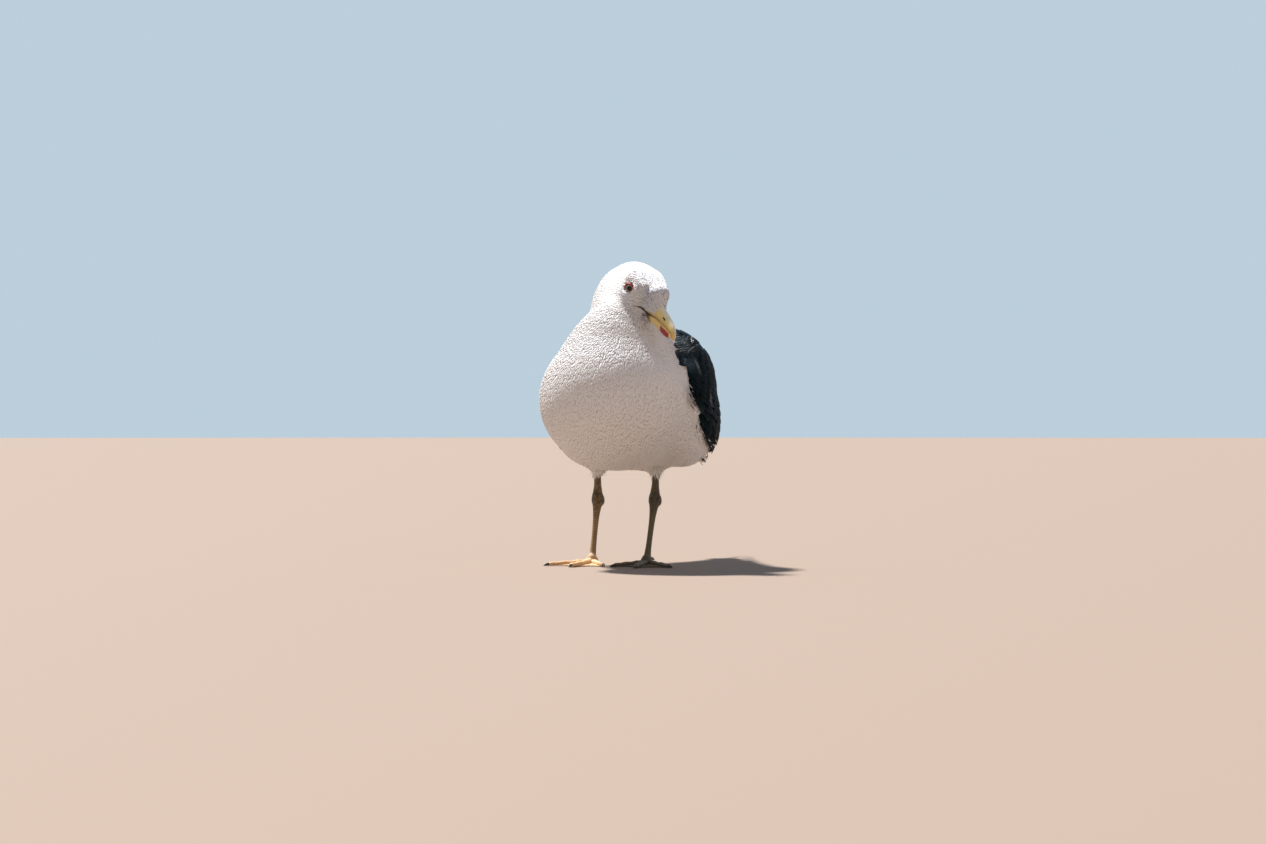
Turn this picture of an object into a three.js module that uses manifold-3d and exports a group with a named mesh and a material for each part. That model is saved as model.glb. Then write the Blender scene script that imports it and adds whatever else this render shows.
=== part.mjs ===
// An adult lesser black-backed gull at rest on both feet, life size: a still display model.
// Millimetres, +Z up. The bird's breast faces -Y, its left side is +X and its soles are at Z = 0.
// The head is turned over the left shoulder and tipped down.
import * as THREE from "three";
import { mergeVertices } from "three/addons/utils/BufferGeometryUtils.js";
import Module from "manifold-3d";

const wasm = await Module();
wasm.setup();

// ---------------------------------------------------------------- driving dimensions

const GAP = 0.3; // clear space between touching nodes
const FLOOR = 0; // level of the soles
const SIDES = [["left", 1], ["right", -1]];

const LEG_SPREAD = 30; // half the distance between the feet
const HEEL_SPREAD = 31.5; // half the distance between the heel joints
const FOOT_X = -12; // middle of the stance: the weight is over the left leg
const FOOT_Y = 38; // the toes' common root, behind the middle of the body
const HEEL_BACK = 19; // how far the heel joint stands behind the toes' root
const TARSUS = 62; // height from the toes' root to the heel joint
const SHIN_TOP = 104; // height at which the bare shin is deep in the thigh feathers

const HEAD_AT = new THREE.Vector3(34, -20, 286); // midway between the eyes
const HEAD_TURN = 54; // degrees to the bird's left of straight ahead
const HEAD_DIP = 29; // degrees that the bill points below level
const HEAD_TILT = 6; // degrees that the left eye is lower than the right

const EYE_AT = new THREE.Vector3(2.5, 18.8, -0.8); // centre of the left eyeball in the head's frame
const EYE_R = 6.4; // eyeball
const LID_R = 4.5; // middle of the bare ring round the eye
const LID_WIRE = 0.95; // half the thickness of that ring

const AXIS_START = new THREE.Vector3(0, -80, 190); // straight line through the trunk, from the breast
const AXIS_END = new THREE.Vector3(0, 318, 107.5); // to the wing tips

// ---------------------------------------------------------------- small helpers

const v3 = (x, y, z) => new THREE.Vector3(x, y, z);
const rad = THREE.MathUtils.degToRad;
const mix = THREE.MathUtils.lerp;

// A smooth track through stations, each [position, value, value, ...]. Column 1 is the first value.
function track(stations, column) {
  const last = stations.length - 1;
  return (at) => {
    const x = THREE.MathUtils.clamp(at, stations[0][0], stations[last][0]);
    let i = 0;
    while (i < last - 1 && x > stations[i + 1][0]) i++;
    const [x0, x1] = [stations[i][0], stations[i + 1][0]];
    const [y0, y1] = [stations[i][column], stations[i + 1][column]];
    const slope = (a, b) => (stations[b][column] - stations[a][column]) / (stations[b][0] - stations[a][0]);
    const m0 = slope(Math.max(i - 1, 0), i + 1) * (x1 - x0);
    const m1 = slope(i, Math.min(i + 2, last)) * (x1 - x0);
    const t = (x - x0) / (x1 - x0);
    const u = t * t * (3 - 2 * t);
    return y0 * (1 - u) + y1 * u + m0 * t * (1 - t) ** 2 - m1 * t * t * (1 - t);
  };
}

// A small seeded draw, from -1 to 1, so that every build is alike.
function seeded(seed) {
  let state = seed;
  return () => {
    state = (state * 1103515245 + 12345) % 2147483648;
    return (state / 2147483648) * 2 - 1;
  };
}

const pitched = (degrees) => new THREE.Quaternion().setFromAxisAngle(v3(1, 0, 0), rad(-degrees));

// The head's frame: +X along the bill, +Y to the bird's left, +Z to the crown.
function headFrame() {
  const forward = v3(Math.sin(rad(HEAD_TURN)), -Math.cos(rad(HEAD_TURN)), 0);
  const left = v3(0, 0, 1).cross(forward);
  const dipped = forward.clone().multiplyScalar(Math.cos(rad(HEAD_DIP))).setZ(-Math.sin(rad(HEAD_DIP)));
  const crown = dipped.clone().cross(left);
  const tilt = new THREE.Quaternion().setFromAxisAngle(dipped, rad(-HEAD_TILT));
  left.applyQuaternion(tilt);
  crown.applyQuaternion(tilt);
  return new THREE.Matrix4().makeBasis(dipped, left, crown).setPosition(HEAD_AT);
}
const HEAD = headFrame();
const HEAD_TURNED = new THREE.Quaternion().setFromRotationMatrix(HEAD);
const inHead = (x, y, z) => v3(x, y, z).applyMatrix4(HEAD);

// ---------------------------------------------------------------- fields: negative inside, about mm outside

function ellipsoid(centre, radii, turned = new THREE.Quaternion()) {
  const back = turned.clone().invert();
  const q = v3(0, 0, 0);
  return (p) => {
    q.copy(p).sub(centre).applyQuaternion(back).divide(radii);
    const near = q.length();
    const steep = q.divide(radii).length();
    return steep < 1e-9 ? -Math.min(radii.x, radii.y, radii.z) : (near * (near - 1)) / steep;
  };
}

// A cone with round ends, from one centre and radius to another.
function roundCone(from, to, r0, r1) {
  const run = to.clone().sub(from);
  const q = v3(0, 0, 0);
  return (p) => {
    const t = THREE.MathUtils.clamp(q.copy(p).sub(from).dot(run) / run.lengthSq(), 0, 1);
    return q.copy(run).multiplyScalar(t).add(from).distanceTo(p) - mix(r0, r1, t);
  };
}

// The union of fields with its creases filled over a width.
function melt(width, fields) {
  return (p) => {
    let d = fields[0](p);
    for (let i = 1; i < fields.length; i++) {
      const e = fields[i](p);
      const near = Math.max(width - Math.abs(d - e), 0) / width;
      d = Math.min(d, e) - (near * near * width) / 4;
    }
    return d;
  };
}

const trunk = melt(16, [
  ellipsoid(v3(1, -28, 172), v3(74.5, 68, 70)), // breast
  ellipsoid(v3(0, 38, 165), v3(83, 88, 62), pitched(22)), // belly
  ellipsoid(v3(0, 4, 142), v3(56, 56, 41)), // keel
  ellipsoid(v3(34, 44, 198), v3(44, 60, 43), pitched(18)), // left shoulder
  ellipsoid(v3(-34, 44, 198), v3(44, 60, 43), pitched(18)), // right shoulder
  ellipsoid(v3(0, 108, 160), v3(52, 76, 35), pitched(27)), // hind part
  ellipsoid(v3(0, 172, 138), v3(25, 56, 15), pitched(20)), // feathers under and over the tail's root
  ellipsoid(v3(52, 52, 141), v3(30, 56, 37), pitched(8)), // left flank
  ellipsoid(v3(-52, 52, 141), v3(30, 56, 37), pitched(8)), // right flank
  ellipsoid(v3(1, -14, 221), v3(51, 49, 42)), // root of the neck
]);

const throat = melt(10, [
  roundCone(v3(4, -18, 236), v3(15, -6, 266), 37, 30),
  ellipsoid(v3(4, 4, 262), v3(35, 33, 34)), // nape
  ellipsoid(v3(6, 2, 278), v3(29, 27, 32)), // back of the head
  ellipsoid(v3(2, 17, 244), v3(38, 34, 29)), // hind neck
]);

const skull = melt(8, [
  ellipsoid(inHead(-9, 0, 0), v3(30, 23, 20.5), HEAD_TURNED), // crown
  ellipsoid(inHead(10, 0, 7), v3(19, 18, 14), HEAD_TURNED), // forehead
  ellipsoid(inHead(15, 0, -4), v3(21, 13, 13), HEAD_TURNED), // lores
  ellipsoid(inHead(-6, 0, -10), v3(28, 22, 14), HEAD_TURNED), // cheeks
  ellipsoid(inHead(9, 0, -15.5), v3(23, 10, 8), HEAD_TURNED), // chin
  ellipsoid(inHead(9, 12.5, 8), v3(15, 7, 6), HEAD_TURNED), // left brow
  ellipsoid(inHead(9, -12.5, 8), v3(15, 7, 6), HEAD_TURNED), // right brow
]);

const flesh = melt(12, [trunk, throat, skull]);

// What the folded wings lie on: the body, drawn out to the wing tips.
const cover = melt(26, [melt(12, [trunk, throat]), roundCone(v3(0, 150, 155), v3(0, 312, 108), 26, 3)]);

// ---------------------------------------------------------------- skins of fields

// How steeply and which way a field rises.
function rise(field, p) {
  const e = 0.05;
  const g = v3(0, 0, 0);
  for (const axis of ["x", "y", "z"]) {
    const q = p.clone();
    q[axis] += e;
    const high = field(q);
    q[axis] -= 2 * e;
    g[axis] = (high - field(q)) / (2 * e);
  }
  return g;
}

// Draws points on to the level of a field.
function settle(field, p, level = 0) {
  for (let i = 0; i < 4; i++) {
    const g = rise(field, p);
    p.addScaledVector(g, -(field(p) - level) / Math.max(g.lengthSq(), 0.05));
  }
  return p;
}

// The closed surface of a field in a box: one point in each cell that the surface crosses, one face round
// each grid edge that it crosses.
function skinOf(field, low, high, cell, level = 0) {
  const count = ["x", "y", "z"].map((a) => Math.ceil((high[a] - low[a]) / cell) + 1);
  const index = (i, j, k) => i + count[0] * (j + count[1] * k);
  const at = (i, j, k) => v3(low.x + i * cell, low.y + j * cell, low.z + k * cell);
  const value = new Float32Array(count[0] * count[1] * count[2]);
  for (let k = 0; k < count[2]; k++)
    for (let j = 0; j < count[1]; j++)
      for (let i = 0; i < count[0]; i++) value[index(i, j, k)] = field(at(i, j, k)) - level;

  const corners = [];
  for (let c = 0; c < 8; c++) corners.push([c & 1, (c >> 1) & 1, c >> 2]);
  const points = [];
  const pointOf = new Map();
  for (let k = 0; k < count[2] - 1; k++)
    for (let j = 0; j < count[1] - 1; j++)
      for (let i = 0; i < count[0] - 1; i++) {
        const sum = v3(0, 0, 0);
        let crossings = 0;
        for (let a = 0; a < 8; a++)
          for (let bit = 1; bit < 8; bit <<= 1) {
            if (a & bit) continue;
            const [p, q] = [corners[a], corners[a | bit]];
            const f = value[index(i + p[0], j + p[1], k + p[2])];
            const g = value[index(i + q[0], j + q[1], k + q[2])];
            if (f < 0 === g < 0) continue;
            sum.add(at(i + p[0], j + p[1], k + p[2]).lerp(at(i + q[0], j + q[1], k + q[2]), f / (f - g)));
            crossings++;
          }
        if (!crossings) continue;
        pointOf.set(index(i, j, k), points.length);
        points.push(settle(field, sum.divideScalar(crossings), level));
      }

  const faces = [];
  const step = [[1, 0, 0], [0, 1, 0], [0, 0, 1]];
  for (let k = 1; k < count[2] - 1; k++)
    for (let j = 1; j < count[1] - 1; j++)
      for (let i = 1; i < count[0] - 1; i++)
        for (let a = 0; a < 3; a++) {
          const here = value[index(i, j, k)] < 0;
          const [di, dj, dk] = step[a];
          if (here === value[index(i + di, j + dj, k + dk)] < 0) continue;
          const [b, c] = [step[(a + 1) % 3], step[(a + 2) % 3]];
          const cell4 = [[0, 0], [1, 0], [1, 1], [0, 1]].map(([m, n]) =>
            pointOf.get(index(i - m * b[0] - n * c[0], j - m * b[1] - n * c[1], k - m * b[2] - n * c[2])),
          );
          if (!here) cell4.reverse();
          faces.push(...splitQuad(points, cell4));
        }
  return geometryFrom(points, faces);
}

// Two triangles of a quad, cut along its shorter diagonal.
function splitQuad(points, [a, b, c, d]) {
  return points[a].distanceToSquared(points[c]) < points[b].distanceToSquared(points[d])
    ? [a, b, c, a, c, d]
    : [a, b, d, b, c, d];
}

function geometryFrom(points, faces) {
  return new THREE.BufferGeometry()
    .setAttribute("position", new THREE.Float32BufferAttribute(points.flatMap((p) => p.toArray()), 3))
    .setIndex(faces);
}

// ---------------------------------------------------------------- solids

function solidOf(geometry) {
  const plain = geometry.clone();
  plain.deleteAttribute("normal");
  plain.deleteAttribute("uv");
  const merged = mergeVertices(plain, 1e-3);
  const made = new wasm.Manifold(
    new wasm.Mesh({
      numProp: 3,
      vertProperties: new Float32Array(merged.attributes.position.array),
      triVerts: new Uint32Array(merged.index.array),
    }),
  );
  return made;
}

function geometryOf(solid) {
  const mesh = solid.getMesh();
  const points = [];
  for (let i = 0; i < mesh.numVert; i++) {
    const at = i * mesh.numProp;
    points.push(v3(...mesh.vertProperties.subarray(at, at + 3)));
  }
  return geometryFrom(points, [...mesh.triVerts]);
}

const joined = (solids) => wasm.Manifold.union(solids);

// The largest closed body of a solid.
function largest(solid) {
  return solid.decompose().reduce((a, b) => (a.volume() > b.volume() ? a : b));
}

// What lies on the side of a plane that its normal points to, at least half a gap away from it.
function beyond(solid, point, normal, gap = GAP / 2) {
  const n = normal.clone().normalize();
  return solid.trimByPlane(n.toArray(), n.dot(point) + gap);
}

// A closed tube of rings of equal count, each a list of points, with flat ends.
function tube(rings) {
  const n = rings[0].length;
  const points = rings.flat();
  const faces = [];
  for (let r = 0; r < rings.length - 1; r++)
    for (let i = 0; i < n; i++) {
      const [a, b] = [r * n + i, r * n + ((i + 1) % n)];
      faces.push(...splitQuad(points, [a, b, b + n, a + n]));
    }
  for (let i = 1; i < n - 1; i++) {
    faces.push(0, i + 1, i);
    const end = (rings.length - 1) * n;
    faces.push(end, end + i, end + i + 1);
  }
  return facingOut(geometryFrom(points, faces));
}

// Turns a closed geometry's faces outwards where they point in.
function facingOut(geometry) {
  const p = geometry.attributes.position;
  const f = geometry.index.array;
  const [a, b, c] = [v3(0, 0, 0), v3(0, 0, 0), v3(0, 0, 0)];
  let volume = 0;
  for (let i = 0; i < f.length; i += 3) {
    a.fromBufferAttribute(p, f[i]);
    b.fromBufferAttribute(p, f[i + 1]);
    c.fromBufferAttribute(p, f[i + 2]);
    volume += a.dot(b.cross(c));
  }
  if (volume < 0) for (let i = 0; i < f.length; i += 3) [f[i + 1], f[i + 2]] = [f[i + 2], f[i + 1]];
  return geometry;
}

// A closed sheet: place(along, across, face) gives its points, with face 1 outside and 0 inside. Both faces
// are split alike.
function sheet(place, rows, columns) {
  const points = [];
  for (const face of [1, 0])
    for (let i = 0; i <= rows; i++)
      for (let j = 0; j <= columns; j++) points.push(place(i / rows, j / columns, face));
  const width = columns + 1;
  const inner = (rows + 1) * width;
  const faces = [];
  for (let i = 0; i < rows; i++)
    for (let j = 0; j < columns; j++) {
      const a = i * width + j;
      const [b, c, d] = [a + 1, a + width + 1, a + width];
      faces.push(a, b, c, a, c, d, inner + a, inner + c, inner + b, inner + a, inner + d, inner + c);
    }
  const rim = [];
  for (let j = 0; j < columns; j++) rim.push(j);
  for (let i = 0; i < rows; i++) rim.push(i * width + columns);
  for (let j = columns; j > 0; j--) rim.push(rows * width + j);
  for (let i = rows; i > 0; i--) rim.push(i * width);
  rim.forEach((a, n) => {
    const b = rim[(n + 1) % rim.length];
    faces.push(a, inner + a, inner + b, a, inner + b, b);
  });
  return facingOut(geometryFrom(points, faces));
}

// ---------------------------------------------------------------- places on the body's surface

const AXIS = AXIS_END.clone().sub(AXIS_START).normalize();
const AXIS_UP = v3(1, 0, 0).cross(AXIS);

// The point at a height over the surface of a field, seen from the trunk's axis: s mm along it, and an angle
// in degrees from the back's midline towards the left.
function onBody(field, s, angle, height) {
  const from = AXIS_START.clone().addScaledVector(AXIS, s);
  const out = AXIS_UP.clone().multiplyScalar(Math.cos(rad(angle))).add(v3(Math.sin(rad(angle)), 0, 0));
  let [near, far] = [0, 110];
  const p = v3(0, 0, 0);
  for (let i = 0; i < 22; i++) {
    const half = (near + far) / 2;
    if (field(p.copy(from).addScaledVector(out, half)) < 0) near = half;
    else far = half;
  }
  p.copy(from).addScaledVector(out, near);
  const normal = rise(field, p).normalize();
  return p.addScaledVector(normal, height);
}

// ---------------------------------------------------------------- flesh: torso, neck, head

const TORSO_CELL = 15; // width of the facets
const NECK_CELL = 10;
const HEAD_CELL = 5.5;

const NECK_ROOT = { at: v3(0, -30, 231), up: v3(0.1, -0.2, 0.97) };
const HEAD_ROOT = { at: inHead(-12, 0, -24), up: inHead(0.2, 0, 0.98).sub(HEAD_AT) };

function torsoNode() {
  return beyond(bodyTo(), NECK_ROOT.at, NECK_ROOT.up.clone().negate());
}

// The skin of a field with its faces moved outwards by a margin, which may change with height.
function grownSkin(field, low, high, cell, margin) {
  const skin = skinOf(field, low, high, cell);
  const place = skin.attributes.position;
  const p = v3(0, 0, 0);
  for (let i = 0; margin && i < place.count; i++) {
    p.fromBufferAttribute(place, i);
    p.addScaledVector(rise(field, p).normalize(), margin(p.z));
    place.setXYZ(i, p.x, p.y, p.z);
  }
  return solidOf(skin);
}

// The body up to the throat, grown by a margin.
const bodyTo = (margin = 0) =>
  grownSkin((p) => Math.max(flesh(p), p.z - 262), v3(-100, -115, 80), v3(100, 250, 280), TORSO_CELL, margin);

function neckNode() {
  const slab = (p) => Math.max(flesh(p), 204 - p.z);
  let neck = solidOf(skinOf(slab, v3(-90, -115, 190), v3(100, 120, 330), NECK_CELL));
  neck = beyond(neck, NECK_ROOT.at, NECK_ROOT.up);
  return beyond(neck, HEAD_ROOT.at, HEAD_ROOT.up.clone().negate());
}

function headNode() {
  const slab = (p) => Math.max(flesh(p), 234 - p.z);
  let head = solidOf(skinOf(slab, v3(-70, -90, 224), v3(100, 80, 330), HEAD_CELL));
  head = beyond(head, HEAD_ROOT.at, HEAD_ROOT.up);
  const cuts = [bill(upperSection, GAP), bill(lowerSection, GAP)];
  for (const [, side] of SIDES) {
    cuts.push(eyeball(side, EYE_R + GAP), lidRing(side, LID_WIRE + GAP), mouthLine(side));
  }
  return largest(head.subtract(joined(cuts)));
}

// ---------------------------------------------------------------- eyes and lids

const eyeCentre = (side) => inHead(EYE_AT.x, EYE_AT.y * side, EYE_AT.z);

function eyeball(side, radius) {
  const ball = new THREE.SphereGeometry(radius, 12, 8);
  const centre = eyeCentre(side);
  return solidOf(ball.translate(centre.x, centre.y, centre.z));
}

// Looks out of the head, a little forward.
const eyeAim = (side) => inHead(0.22, side, 0).sub(HEAD_AT).normalize();

function lidRing(side, wire) {
  const ring = new THREE.TorusGeometry(LID_R, wire, 4, 12);
  const aim = eyeAim(side);
  const turn = new THREE.Quaternion().setFromUnitVectors(v3(0, 0, 1), aim);
  const out = Math.sqrt(EYE_R ** 2 - LID_R ** 2) - 0.1;
  const centre = eyeCentre(side).addScaledVector(aim, out);
  return solidOf(ring.applyQuaternion(turn).translate(centre.x, centre.y, centre.z));
}

// ---------------------------------------------------------------- bill, in the head's frame

// [x along the bill, culmen, cutting edge, underside, half width]
const BILL = [
  [20, 0.2, -15.6, -23.0, 8.4],
  [29, -0.5, -15.3, -23.2, 7.8],
  [38, -1.8, -15.2, -22.9, 6.8],
  [47, -3.8, -15.4, -23.6, 5.8],
  [55, -6.2, -15.8, -24.6, 5.1],
  [62, -9.0, -16.4, -24.3, 4.4],
  [67, -11.8, -17.4, -22.4, 3.6],
  [70.5, -15.4, -20.2, -21.6, 2.7],
  [72.8, -20.5, -25.0, -21.4, 1.3],
];
const LOWER_TIP = 70; // where the lower half of the bill ends
const [culmen, edge, under, halfWidth] = [1, 2, 3, 4].map((column) => track(BILL, column));
const BILL_STEPS = 9;

// Points round the upper half at x: up one side, over the culmen and down the other.
function upperSection(x, grow) {
  const [top, low, w] = [culmen(x) + grow, edge(x) - grow, halfWidth(x) + grow];
  const points = [];
  for (let i = 0; i <= 8; i++) {
    const a = Math.PI * (i / 8);
    const y = -w * Math.cos(a) * (1 - 0.25 * Math.sin(a));
    points.push(inHead(x, y, mix(low, top, Math.sin(a) ** 0.8)));
  }
  return points;
}

function lowerSection(x, grow) {
  const [top, low] = [edge(x) - GAP + grow * 0.3, under(x) - grow];
  const w = halfWidth(x) * 0.94 + grow;
  const points = [];
  for (let i = 0; i <= 8; i++) {
    const a = Math.PI * (i / 8);
    const y = -w * Math.cos(a) * (1 - 0.2 * Math.sin(a));
    points.push(inHead(x, y, mix(top, low, Math.sin(a) ** 0.8)));
  }
  return points;
}

function bill(section, grow) {
  const from = BILL[0][0] - grow;
  const to = section === lowerSection ? LOWER_TIP : BILL.at(-1)[0];
  const rings = [];
  for (let i = 0; i <= BILL_STEPS; i++) rings.push(section(mix(from, to, (i / BILL_STEPS) ** 0.8), grow));
  return solidOf(tube(rings));
}

const NOSTRIL = { x: 51, z: -9.6, length: 5.5, height: 1.4, slope: 12 };

function upperBillNode() {
  const slit = new THREE.CapsuleGeometry(NOSTRIL.height / 2, NOSTRIL.length, 3, 8).rotateZ(Math.PI / 2);
  slit.rotateY(rad(NOSTRIL.slope)).scale(1, 20, 1).translate(NOSTRIL.x, 0, NOSTRIL.z);
  return bill(upperSection, 0).subtract(solidOf(slit.applyMatrix4(HEAD)));
}

// The gape, as a groove in the face from the bill to below the eye.
const GAPE = [[5, -17.3], [11, -16], [17, -15.4], [23, -15.5], [29, -15.5]]; // x and z in the head's frame
const GAPE_WIDE = 0.75;

function mouthLine(side) {
  const route = GAPE.map(([x, z]) => {
    let [inside, outside] = [0, 40];
    for (let i = 0; i < 20; i++) {
      const y = (inside + outside) / 2;
      if (skull(inHead(x, y * side, z)) < 0) inside = y;
      else outside = y;
    }
    return inHead(x, inside * side, z);
  });
  const path = new THREE.CatmullRomCurve3(route);
  return solidOf(extruded(path, roundShape(GAPE_WIDE, 6), 6));
}

// ---------------------------------------------------------------- legs and feet

function roundShape(radius, sides) {
  const shape = new THREE.Shape();
  for (let i = 0; i < sides; i++) {
    const a = (2 * Math.PI * i) / sides;
    shape[i ? "lineTo" : "moveTo"](radius * Math.cos(a), radius * Math.sin(a));
  }
  return shape;
}

const extruded = (path, shape, steps) =>
  facingOut(mergeVertices(strip(new THREE.ExtrudeGeometry(shape, { steps, extrudePath: path })), 1e-3));

function strip(geometry) {
  geometry.deleteAttribute("normal");
  geometry.deleteAttribute("uv");
  return geometry;
}

// A limb: oval rings along a line, each [share of the way, half width, half depth].
function limb(from, to, stations, sides) {
  const run = to.clone().sub(from);
  const rings = stations.map(([t, wide, deep]) => {
    const centre = from.clone().addScaledVector(run, t);
    const ring = [];
    for (let i = 0; i < sides; i++) {
      const a = (2 * Math.PI * (i + 0.5)) / sides;
      ring.push(centre.clone().add(v3(wide * Math.cos(a), deep * Math.sin(a), 0)));
    }
    return ring;
  });
  return solidOf(tube(rings));
}

const toeRoot = (side) => v3(FOOT_X + LEG_SPREAD * side, FOOT_Y, 6);
const heel = (side) => v3(FOOT_X + 1 + HEEL_SPREAD * side, FOOT_Y + HEEL_BACK, 6 + TARSUS);
const shinTop = (side) => v3(FOOT_X + 3 + (HEEL_SPREAD + 1) * side, FOOT_Y + HEEL_BACK - 3, SHIN_TOP + 8);

// The tarsus with its knuckled heel joint, split from the shin above it.
const TARSUS_RINGS = [
  [-0.03, 4.6, 5.2], [0.07, 4.0, 5.0], [0.2, 3.5, 4.4], [0.45, 3.3, 4.1], [0.7, 3.6, 4.3],
  [0.86, 4.6, 5.2], [0.95, 5.8, 6.6], [1.03, 6.0, 6.4], [1.06, 5.6, 5.6],
];
const SHIN_RINGS = [
  [-0.06, 5.4, 5.6], [0.06, 5.7, 5.9], [0.2, 4.9, 5.3], [0.4, 4.2, 4.9], [0.75, 4.6, 5.4], [1, 5, 6],
];

function tarsusNode(side) {
  const [low, top] = [toeRoot(side), heel(side)];
  const cut = top.clone();
  return beyond(limb(low, top, TARSUS_RINGS, 10), cut, v3(0, 0.15, -1)).subtract(footFlesh(side, GAP));
}

function shinNode(side, clearBody) {
  const made = limb(heel(side), shinTop(side), SHIN_RINGS, 10);
  return largest(beyond(made, heel(side), v3(0, -0.15, 1)).subtract(clearBody));
}

// The loose feathers round the shin, let into the belly.
const THIGH_RINGS = [[-0.02, 6.6, 7.2], [0.12, 9, 10], [0.35, 14, 16], [0.65, 21, 25], [1, 27, 32]];

function thighNode(side, clearBody) {
  const low = heel(side).lerp(shinTop(side), 0.58);
  const top = shinTop(side).add(v3(-4 * side, 2, 20));
  const cuff = limb(low, top, THIGH_RINGS, 14);
  const shin = limb(heel(side), shinTop(side), SHIN_RINGS.map(([t, w, d]) => [t, w + GAP, d + GAP]), 10);
  return largest(cuff.subtract(clearBody).subtract(shin));
}

// Toes of one foot: [name, degrees outwards from straight ahead, length, half thickness]
const TOES = [["inner", -34, 41, 2.6], ["middle", 5, 53, 2.8], ["outer", 45, 49, 2.6]];
const HALLUX = { turn: 168, length: 9, thick: 1.7, high: 9 };
const CLAW = { length: 7.5, thick: 1.35 };
const WEB = { low: 0.2, high: 1.9, bow: 0.72 };

function halluxLine(side) {
  const aim = v3(Math.sin(rad(HALLUX.turn)) * side, -Math.cos(rad(HALLUX.turn)), 0);
  const tip = toeRoot(side).addScaledVector(aim, HALLUX.length + 3).setZ(HALLUX.high - 2.5);
  return { aim, tip };
}

function toeLine(side, turn, length, thick) {
  const root = toeRoot(side);
  const aim = v3(Math.sin(rad(turn)) * side, -Math.cos(rad(turn)), 0);
  const at = (share, z) => v3(root.x, root.y, z).addScaledVector(aim, length * share);
  const heights = [4.8, thick + 0.2, thick - 0.3, 0.8 * thick, 0.7 * thick];
  return { aim, points: [0, 0.2, 0.5, 0.8, 1].map((share, i) => at(share, heights[i])) };
}

// A toe with its pads: rounder at its joints.
function toe(line, thick, grow) {
  const path = new THREE.CatmullRomCurve3(line.points);
  const steps = 5;
  const across = line.aim.clone().cross(v3(0, 0, 1));
  const rings = [];
  for (let i = 0; i <= steps; i++) {
    const t = i / steps;
    const r = thick * mix(1.25, 0.8, t) * (1 + 0.08 * Math.cos(t * Math.PI * 6)) + grow;
    const ring = [];
    for (let j = 0; j < 6; j++) {
      const a = (2 * Math.PI * (j + 0.5)) / 6;
      ring.push(path.getPoint(t).addScaledVector(across, r * Math.cos(a)).add(v3(0, 0, r * Math.sin(a))));
    }
    rings.push(ring);
  }
  return solidOf(tube(rings));
}

// The web between two toes, drawn back between their tips.
function web(a, b) {
  return solidOf(
    sheet((along, across, face) => {
      const bow = 1 - (1 - WEB.bow) * 4 * across * (1 - across);
      const reach = mix(0.02, 0.93 * bow, along);
      const [p, q] = [a.points[0], a.points[4]];
      const one = v3(p.x, p.y, 0).lerp(v3(q.x, q.y, 0), reach);
      const two = v3(p.x, p.y, 0).lerp(v3(b.points[4].x, b.points[4].y, 0), reach);
      return one.lerp(two, across).setZ(face ? WEB.high + 2.6 * (1 - along) ** 2 : WEB.low);
    }, 3, 2),
  );
}

function footFlesh(side, grow) {
  const lines = TOES.map(([, turn, length, thick]) => toeLine(side, turn, length, thick));
  const parts = TOES.map(([, , , thick], i) => toe(lines[i], thick, grow));
  const root = toeRoot(side);
  const ankle = new THREE.SphereGeometry(5.6 + grow, 8, 5).translate(root.x, root.y, 4.2);
  const { high, thick } = HALLUX;
  const rear = taper(root.setZ(high), halluxLine(side).tip, thick * 1.3 + grow, thick + grow);
  parts.push(solidOf(ankle), solidOf(rear));
  if (!grow) parts.push(web(lines[0], lines[1]), web(lines[1], lines[2]));
  return joined(parts);
}

function footNode(side) {
  return largest(beyond(footFlesh(side, 0), v3(0, 0, FLOOR), v3(0, 0, 1), 0));
}

// A straight tapering rod.
function taper(from, to, r0, r1) {
  const run = to.clone().sub(from).normalize();
  const across = run.clone().cross(v3(0, 0, 1)).normalize();
  const up = across.clone().cross(run);
  const rings = [[from, r0], [to, r1]].map(([centre, r]) => {
    const ring = [];
    for (let j = 0; j < 8; j++) {
      const a = (2 * Math.PI * j) / 8;
      const aside = centre.clone().addScaledVector(across, r * Math.cos(a));
      ring.push(aside.addScaledVector(up, r * Math.sin(a)));
    }
    return ring;
  });
  return tube(rings);
}

// A claw: a cone that bends down to just over the floor.
function clawNode(tip, aim, size) {
  const steps = 3;
  const across = aim.clone().cross(v3(0, 0, 1)).normalize();
  const rings = [];
  for (let i = 0; i <= steps; i++) {
    const t = i / steps;
    const r = CLAW.thick * size * mix(1, 0.18, t ** 1.3);
    const drop = Math.max(tip.z - 0.9 * t ** 2 * CLAW.length * size * 0.3, r + 0.15);
    const centre = tip.clone().addScaledVector(aim, GAP + t * CLAW.length * size);
    centre.setZ(Math.min(tip.z + 0.3, drop));
    const ring = [];
    for (let j = 0; j < 6; j++) {
      const a = (2 * Math.PI * j) / 6;
      ring.push(centre.clone().addScaledVector(across, r * Math.cos(a)).add(v3(0, 0, r * Math.sin(a))));
    }
    rings.push(ring);
  }
  return solidOf(tube(rings));
}

// ---------------------------------------------------------------- feathers

// Outlines of a feather from root to tip: [share of the length, share of the half width]
const ROUND = [[0, 0.7], [0.55, 1], [0.88, 0.84], [1, 0.4]];
const POINTED = [[0, 0.8], [0.5, 1], [0.85, 0.66], [1, 0.14]];
const RISEN = 0.55; // share of the length by which a feather has risen to its full height
const CROWN = 0.5; // how much higher the shaft lies than the edges
const TILT = 1.1; // how much higher one edge lies than the other, over the neighbour's

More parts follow.
